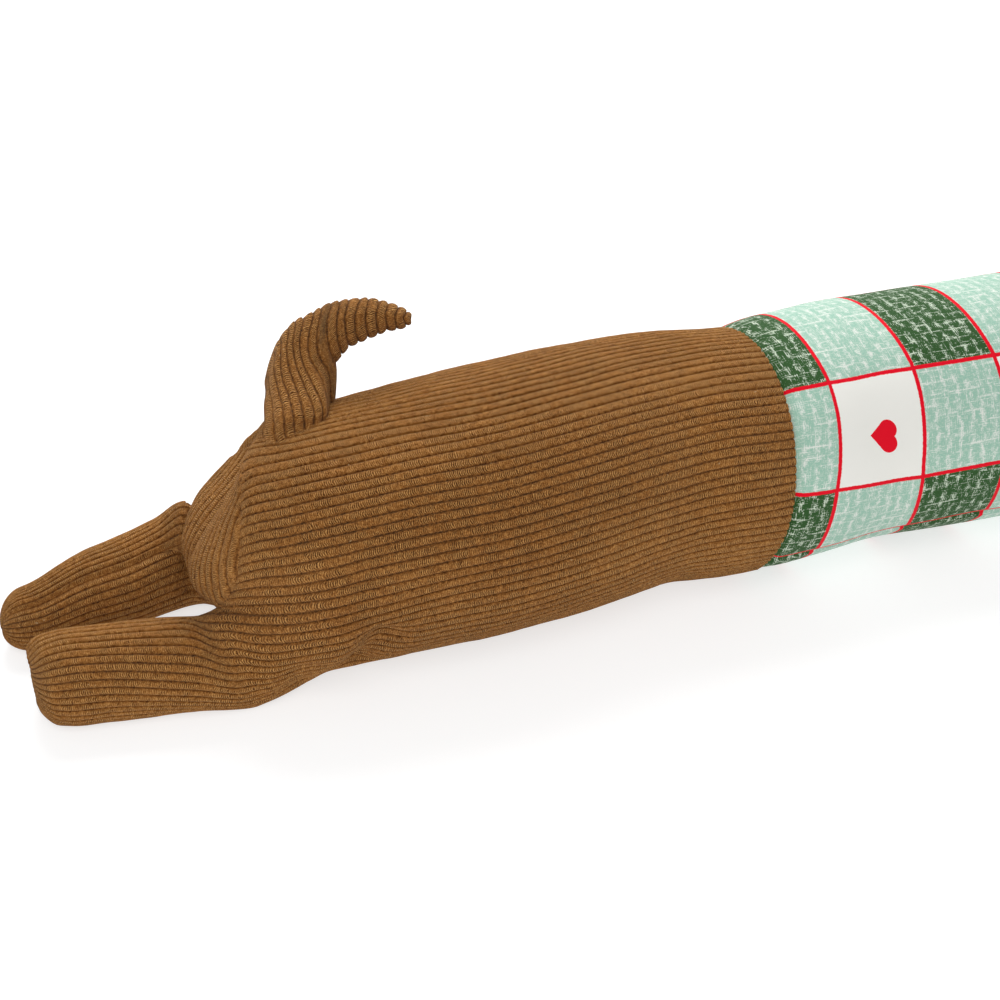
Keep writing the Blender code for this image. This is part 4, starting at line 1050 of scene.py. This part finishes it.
coatPlan = {
    "steps": (bodyShape["rearSeam"], -0.0770, -0.065, -0.045, -0.020, 0.020,
              0.060, 0.100, 0.140, 0.180, 0.214, 0.2245, bodyShape["coatEnd"]),
    "rowSpacing": 0.0022,
    "columns": 260,
    "closeShare": 0.016,
    "seamAngle": 123.0,
    "ringLine": -0.0570,  # x of the first red ring
    # where the middle of the heart row lies from the seam, by x, and how the cloth is stretched there
    "heartRow": np.array([
        (-0.0816, 0.0778, 0.058), (-0.0570, 0.0770, 0.027), (-0.0270, 0.0744, -0.010), (-0.0040, 0.0728, -0.025),
        (0.0410, 0.0737, -0.015), (0.1400, 0.0737, 0.0), (0.2290, 0.0737, 0.0),
    ]),
    "heartReach": 0.060,
    # how the rings sway to the head on their way round
    "sway": ((0.000, 0.027, 0.051, 0.068, 0.087, 0.105, 0.124, 0.150, 0.174, 0.241, 0.440),
             (0.0020, 0.0000, -0.0011, 0.0000, 0.0015, 0.0018, 0.0004, -0.0008, -0.0016, 0.0000, 0.0020)),
    "tuck": 0.0020,  # the belly seam's dip and its reach
    "tuckReach": 0.0022,
    "endDip": 0.0022,
    "endDipReach": 0.0034,
    # fine waves where it is gathered to the corduroy, their lengths round and along, and the unevenness
    "ripple": 0.0005,
    "rippleReach": 0.020,
    "rippleWave": (0.020, 0.08),
    "uneven": 0.0006,
    "unevenWave": (0.06, 0.07),
    "endFade": 0.0025,
    "sliver": 0.0064,
    "sliverLine": 0.62,  # the red line's place on the sliver
    "sliverScale": 1.2,
}


def coatWeave(grid, around):
    # the print's place along and around, laid as the photo shows it
    straight = grid[:, :, 0] - leanAt(grid)
    ringPlace = straight - np.interp(around, *coatPlan["sway"]) - coatPlan["ringLine"] + 4 * printLook["pair"]
    places, middles, stretches = coatPlan["heartRow"].T
    fromHearts = around - np.interp(straight, places, middles)
    stretch = np.interp(straight, places, stretches) * bell(fromHearts / coatPlan["heartReach"])
    rowPlace = fromHearts * (1 + stretch) + 0.5 * (1 + printLook["greenShare"]) * printLook["period"]
    # a sliver of the next white row and its red line show at the belly seam
    sliver, line = coatPlan["sliver"], printLook["greenShare"] * printLook["period"]
    onSliver = line + (coatPlan["sliverLine"] * sliver - around) * coatPlan["sliverScale"]
    rowPlace = np.where(around < sliver, onSliver, rowPlace)
    return np.stack([ringPlace, rowPlace], axis=-1) / printLook["step"]


def makeCoat():
    # closer columns at the belly seam
    close = coatPlan["closeShare"]
    shares = np.concatenate([np.linspace(0.0, close, 16)[:-1], np.linspace(close, 1.0, coatPlan["columns"] + 1)])
    rows = []
    for x in coatPlan["steps"]:
        section = sectionAt("coat", x)
        rows.append(leanToSeam(arcPoints(section, coatPlan["seamAngle"], coatPlan["seamAngle"] - 360.0, near, shares)))
    grid, core, place = grow(rows, [coreAt("coat", x) for x in coatPlan["steps"]], coatPlan["rowSpacing"])
    around = runLength(grid, 1)
    ends, bellySeam = borderDistance(grid, ("top", "bottom")), borderDistance(grid, ("left", "right"))
    down = place[:, None]
    wave, softWave = coatPlan["rippleWave"], coatPlan["unevenWave"]
    lift = coatPlan["ripple"] * drift(around / wave[0], down / wave[1], 51) * bell(ends / coatPlan["rippleReach"])
    lift += coatPlan["uneven"] * drift(down / softWave[1], around / softWave[0], 52)
    lift *= 1 - bell(ends / coatPlan["endFade"])
    lift -= coatPlan["tuck"] * bell(bellySeam / coatPlan["tuckReach"])
    lift -= coatPlan["endDip"] * bell(ends / coatPlan["endDipReach"])
    lift[:, -1] = lift[:, 0]
    normal = gridNormals(grid, core)
    normal[:, 0] = normal[:, -1] = 0.5 * (normal[:, 0] + normal[:, -1])
    whole = keepOnFloor(grid + normal * lift[:, :, None], grid)
    cloth = newCloth()
    addGrid(cloth, whole, coatWeave(grid, around))
    closeEnds(cloth, whole, core)
    return finishCloth(cloth, "coatTube", "coat_tube", printedCotton)


makeCoat()
print("coat made")


# plain front: chest, head, legs, ears, eyes and nose

frontPlan = {
    "ribs": 42,
    "tip": 0.467,
    "steps": (0.229, 0.234, 0.252, 0.272, 0.292, 0.312, 0.335, 0.358, 0.380, 0.397, 0.412, 0.425, 0.436, 0.452),
    "closing": (0.62, 0.7),  # the last ring's size and its share of the way to the tip
    "rowSpacing": 0.0024,
    "leg": ((0.330, 0.0735, 0.0222, 0.0430, 0.0105), (0.365, 0.0795, 0.0228, 0.0436, 0.0107),
            (0.405, 0.0822, 0.0232, 0.0442, 0.0110), (0.4420, 0.0835, 0.0225, 0.0425, 0.0104)),
    "legRibs": 16,
    "legTip": 0.457,
    "slant": (-1.0, -0.6, 0.12),
    "sink": 0.0004,
}


def makeFrontSide(side, name, node):
    columns = ribColumns(0, frontPlan["ribs"])
    rows = [halfRow("front", x, side, columns / (2 * frontPlan["ribs"])) for x in frontPlan["steps"]]
    cores = [coreAt("front", x) for x in frontPlan["steps"]]
    last = cores[-1]
    tip = np.array([frontPlan["tip"], last[1], last[2]])
    size, reach = frontPlan["closing"]
    closing = last + (rows[-1] - last) * size
    closing[:, 0] += reach * (frontPlan["tip"] - frontPlan["steps"][-1])
    rows += [closing, np.repeat(tip[None], len(columns), axis=0)]
    grid, core, place = grow(rows, cores + [last, last], frontPlan["rowSpacing"])
    reach = borderDistance(grid, ("top", "left", "right"))
    grid = wobble(grid, place, columns, reach, 61)
    rib, down = spreadOver(grid, columns, place)
    whole = dress(grid, core, down, rib, reach, seed=62)
    whole[-1] = grid[-1]
    cloth = newCloth()
    addGrid(cloth, whole, weaveOf(down, rib))
    closeEnds(cloth, whole, core, (0,))
    closeSides(cloth, whole, core)
    return finishCloth(cloth, name, node)


frontPieces = [
    makeFrontSide(near, "frontNear", "front_side_near"),
    makeFrontSide(far, "frontFar", "front_side_far"),
]


def surfaceOf(pieces):
    points, faces = [], []
    for piece in pieces:
        start = len(points)
        points += [vert.co.copy() for vert in piece.data.vertices]
        faces += [[start + k for k in polygon.vertices] for polygon in piece.data.polygons]
    return BVHTree.FromPolygons(points, faces)


frontSurface = surfaceOf(frontPieces)


def landOnFront(spot):
    # a point slid along the leg's slant until it sinks a little into the front
    direction = Vector(frontPlan["slant"]).normalized()
    hit = frontSurface.ray_cast(Vector(spot), direction)[0]
    return np.array(spot if hit is None else hit + direction * frontPlan["sink"])


def makeFrontLeg(side, name, node):
    count = 2 * frontPlan["legRibs"]
    columns = ribColumns(0, count)
    legs = frontPlan["leg"]
    rows = [arcPoints(section, 0.0, 360.0, far, columns / count) for section in legs]
    cores = [coreOf(section) for section in legs]
    endRows, endCores = footRows(legs[-1], frontPlan["legTip"], 0.0, 360.0, far, columns / count, 0.5)
    root = onFloor(np.array([landOnFront(point) for point in rows[0]]))
    elbow = onFloor(between(2 * root - rows[0], root, rows[0], rows[1], 0.5))
    starts = [root.mean(axis=0), elbow.mean(axis=0)]
    grid, core, place = grow([root, elbow] + rows + endRows, starts + cores + endCores, frontPlan["rowSpacing"])
    rib, down = spreadOver(grid, columns, place)
    whole = dress(grid, core, down, rib, borderDistance(grid, ("top", "left", "right")), seed=71)
    whole[:, -1] = whole[:, 0]
    mirror = np.array([1.0, side, 1.0])
    cloth = newCloth()
    addGrid(cloth, whole * mirror, weaveOf(down, rib))
    closeEnds(cloth, whole * mirror, core * mirror)
    return finishCloth(cloth, name, node)


makeFrontLeg(near, "frontLegNear", "front_leg_near")
makeFrontLeg(far, "frontLegFar", "front_leg_far")

earPlan = {
    "x": 0.374,
    "halfWidth": 0.0215,
    "ribs": 9,
    "rows": 40,
    "root": 24.0,  # its turn round the head, from the root to the tip
    "tip": 98.0,
    "length": 0.07,
    "thickness": 0.0065,
    "rim": 0.0022,
    "seat": 0.0014,
    "hang": 0.005,
    # outline and filling along its length: from, to and power of a sine
    "outline": (0.22, 0.72, 0.6),
    "filling": (0.10, 0.86, 0.4),
}


def sineAlong(u, start, reach, power):
    return math.sin(math.pi * (start + reach * u)) ** power


def earLine(u, side, lift, columns):
    # one row across the ear: its inner face at lift 0, its outer at 1
    angle = math.radians(earPlan["root"] + (earPlan["tip"] - earPlan["root"]) * u)
    width = earPlan["halfWidth"] * sineAlong(u, *earPlan["outline"])
    across = 2 * columns / earPlan["ribs"] - 1
    full = np.sqrt(np.maximum(1 - across ** 2, 0.0)) * sineAlong(u, *earPlan["filling"])
    depth = earPlan["rim"] + (earPlan["thickness"] - earPlan["rim"]) * full
    crest = ribHeight(columns) * np.minimum(1.0, full * 2)
    spots = [ringPoints(sectionAt("front", earPlan["x"] + x), np.array([angle]), side)[0] for x in width * across]
    out = np.array([0.0, side * math.sin(angle), math.cos(angle)])
    raised = earPlan["seat"] + earPlan["hang"] * u * u + lift * (depth + crest)
    return np.array(spots) + out * raised[:, None]


def makeEar(side, name, node):
    columns = ribColumns(0, earPlan["ribs"])
    share = np.linspace(0.0, 1.0, earPlan["rows"] + 1)
    inner, outer = (np.array([earLine(u, side, lift, columns) for u in share]) for lift in (0.0, 1.0))
    rib, place = spreadOver(outer, columns, share * earPlan["length"])
    cloth = newCloth()
    for face in (inner, outer):
        addGrid(cloth, face, weaveOf(place, rib))
    for k in (0, -1):
        addGrid(cloth, np.stack([inner[k], outer[k]]))
        addGrid(cloth, np.stack([inner[:, k], outer[:, k]]))
    return finishCloth(cloth, name, node)


makeEar(near, "earNear", "ear_near")
makeEar(far, "earFar", "ear_far")

facePlan = {
    "eyeX": 0.418,
    "eyeAngle": 48.0,
    "eyeForward": 0.35,
    "eyeLift": 0.002,
    "eyeRadii": (0.0045, 0.0052, 0.0052),
    "noseHeight": 0.031,
    "noseRadii": (0.0080, 0.0125, 0.0095),
    "cut": -0.35,  # where a button's back is cut off, in radii
}


def makeButton(name, node, centre, outward, radii):
    # a domed button: a ball cut off behind
    outward = Vector(outward).normalized()
    bpy.ops.object.select_all(action="DESELECT")
    bpy.ops.mesh.primitive_uv_sphere_add(segments=32, ring_count=20, radius=1.0, location=(0, 0, 0))
    piece = bpy.context.object
    piece.name = name
    bpy.ops.object.mode_set(mode="EDIT")
    bpy.ops.mesh.select_all(action="SELECT")
    bpy.ops.mesh.bisect(plane_co=(0, 0, facePlan["cut"]), plane_no=(0, 0, 1), use_fill=True, clear_inner=True)
    bpy.ops.object.mode_set(mode="OBJECT")
    turn = outward.to_track_quat("Z", "Y").to_matrix().to_4x4()
    size = Matrix.Diagonal((radii[1], radii[2], radii[0], 1.0))
    piece.data.transform(Matrix.Translation(Vector(centre)) @ turn @ size)
    bpy.ops.object.shade_smooth_by_angle(angle=math.radians(50))
    piece.data.materials.append(buttonPlastic)
    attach(piece, "root")
    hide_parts(node)


def makeFace():
    angle = math.radians(facePlan["eyeAngle"])
    section = sectionAt("front", facePlan["eyeX"])
    for name, node, side in (("eyeNear", "eye_near", near), ("eyeFar", "eye_far", far)):
        spot = ringPoints(section, np.array([angle]), side)[0]
        outward = np.array([facePlan["eyeForward"], side * math.sin(angle), math.cos(angle)])
        makeButton(name, node, spot + outward * facePlan["eyeLift"], outward, facePlan["eyeRadii"])
    nosePlace = (frontPlan["tip"], 0.0, facePlan["noseHeight"])
    makeButton("noseButton", "nose", nosePlace, (1.0, 0.0, 0.0), facePlan["noseRadii"])


makeFace()
print("front made")


# floor, light and camera

stageLook = {
    "floor": {
        "Base Color": (0.45, 0.45, 0.45, 1.0), "Roughness": 0.9, "Specular IOR Level": 0.1,
        "Emission Color": (1.0, 1.0, 1.0, 1.0), "Emission Strength": 0.66,
    },
    "world": 0.37,
    # place, size and power of each light; both look at the back half
    "lights": {
        "backLight": ((0.10, 1.00, 1.15), 1.2, 27.0),
        "frontLight": ((-0.70, -1.15, 1.30), 1.4, 16.5),
    },
    "target": (-0.20, 0.0, 0.05),
    "camera": (-0.4533, -0.6475, 0.5355),
    "azimuth": -20.0,
    "elevation": 34.5,
    "lens": 57.6,
}


def makeStage():
    bpy.ops.object.select_all(action="DESELECT")
    bpy.ops.mesh.primitive_plane_add(size=12.0, location=(0, 0, 0))
    floor = bpy.context.object
    floor.name = "floor"
    floor.data.materials.append(newMaterial("floorPale", stageLook["floor"])[0])
    world = bpy.data.worlds.new("studio")
    bpy.context.scene.world = world
    world.use_nodes = True
    feed(world.node_tree.nodes["Background"].inputs, ((1.0, 1.0, 1.0, 1.0), stageLook["world"]))


def areaLight(name, place, size, power):
    light = bpy.data.lights.new(name, "AREA")
    light.shape = "SQUARE"
    light.size = size
    light.energy = power
    lamp = bpy.data.objects.new(name, light)
    bpy.context.scene.collection.objects.link(lamp)
    turn = (Vector(stageLook["target"]) - Vector(place)).to_track_quat("-Z", "Y")
    lamp.matrix_world = Matrix.Translation(place) @ turn.to_matrix().to_4x4()


def makeCamera():
    azimuth, height = math.radians(stageLook["azimuth"]), math.radians(stageLook["elevation"])
    back = Vector((math.sin(azimuth) * math.cos(height), -math.cos(azimuth) * math.cos(height), math.sin(height)))
    right = Vector((math.cos(azimuth), math.sin(azimuth), 0.0))
    up = back.cross(right)
    data = bpy.data.cameras.new("camera")
    data.lens = stageLook["lens"]
    data.sensor_width = 36.0
    data.clip_start = 0.01
    camera = bpy.data.objects.new("camera", data)
    bpy.context.scene.collection.objects.link(camera)
    turn = Matrix((right, up, back)).transposed().to_4x4()
    camera.matrix_world = Matrix.Translation(stageLook["camera"]) @ turn
    bpy.context.scene.camera = camera


makeStage()
for name, (place, size, power) in stageLook["lights"].items():
    areaLight(name, place, size, power)
makeCamera()
bpy.context.scene.view_settings.view_transform = "Standard"
print("stage made")
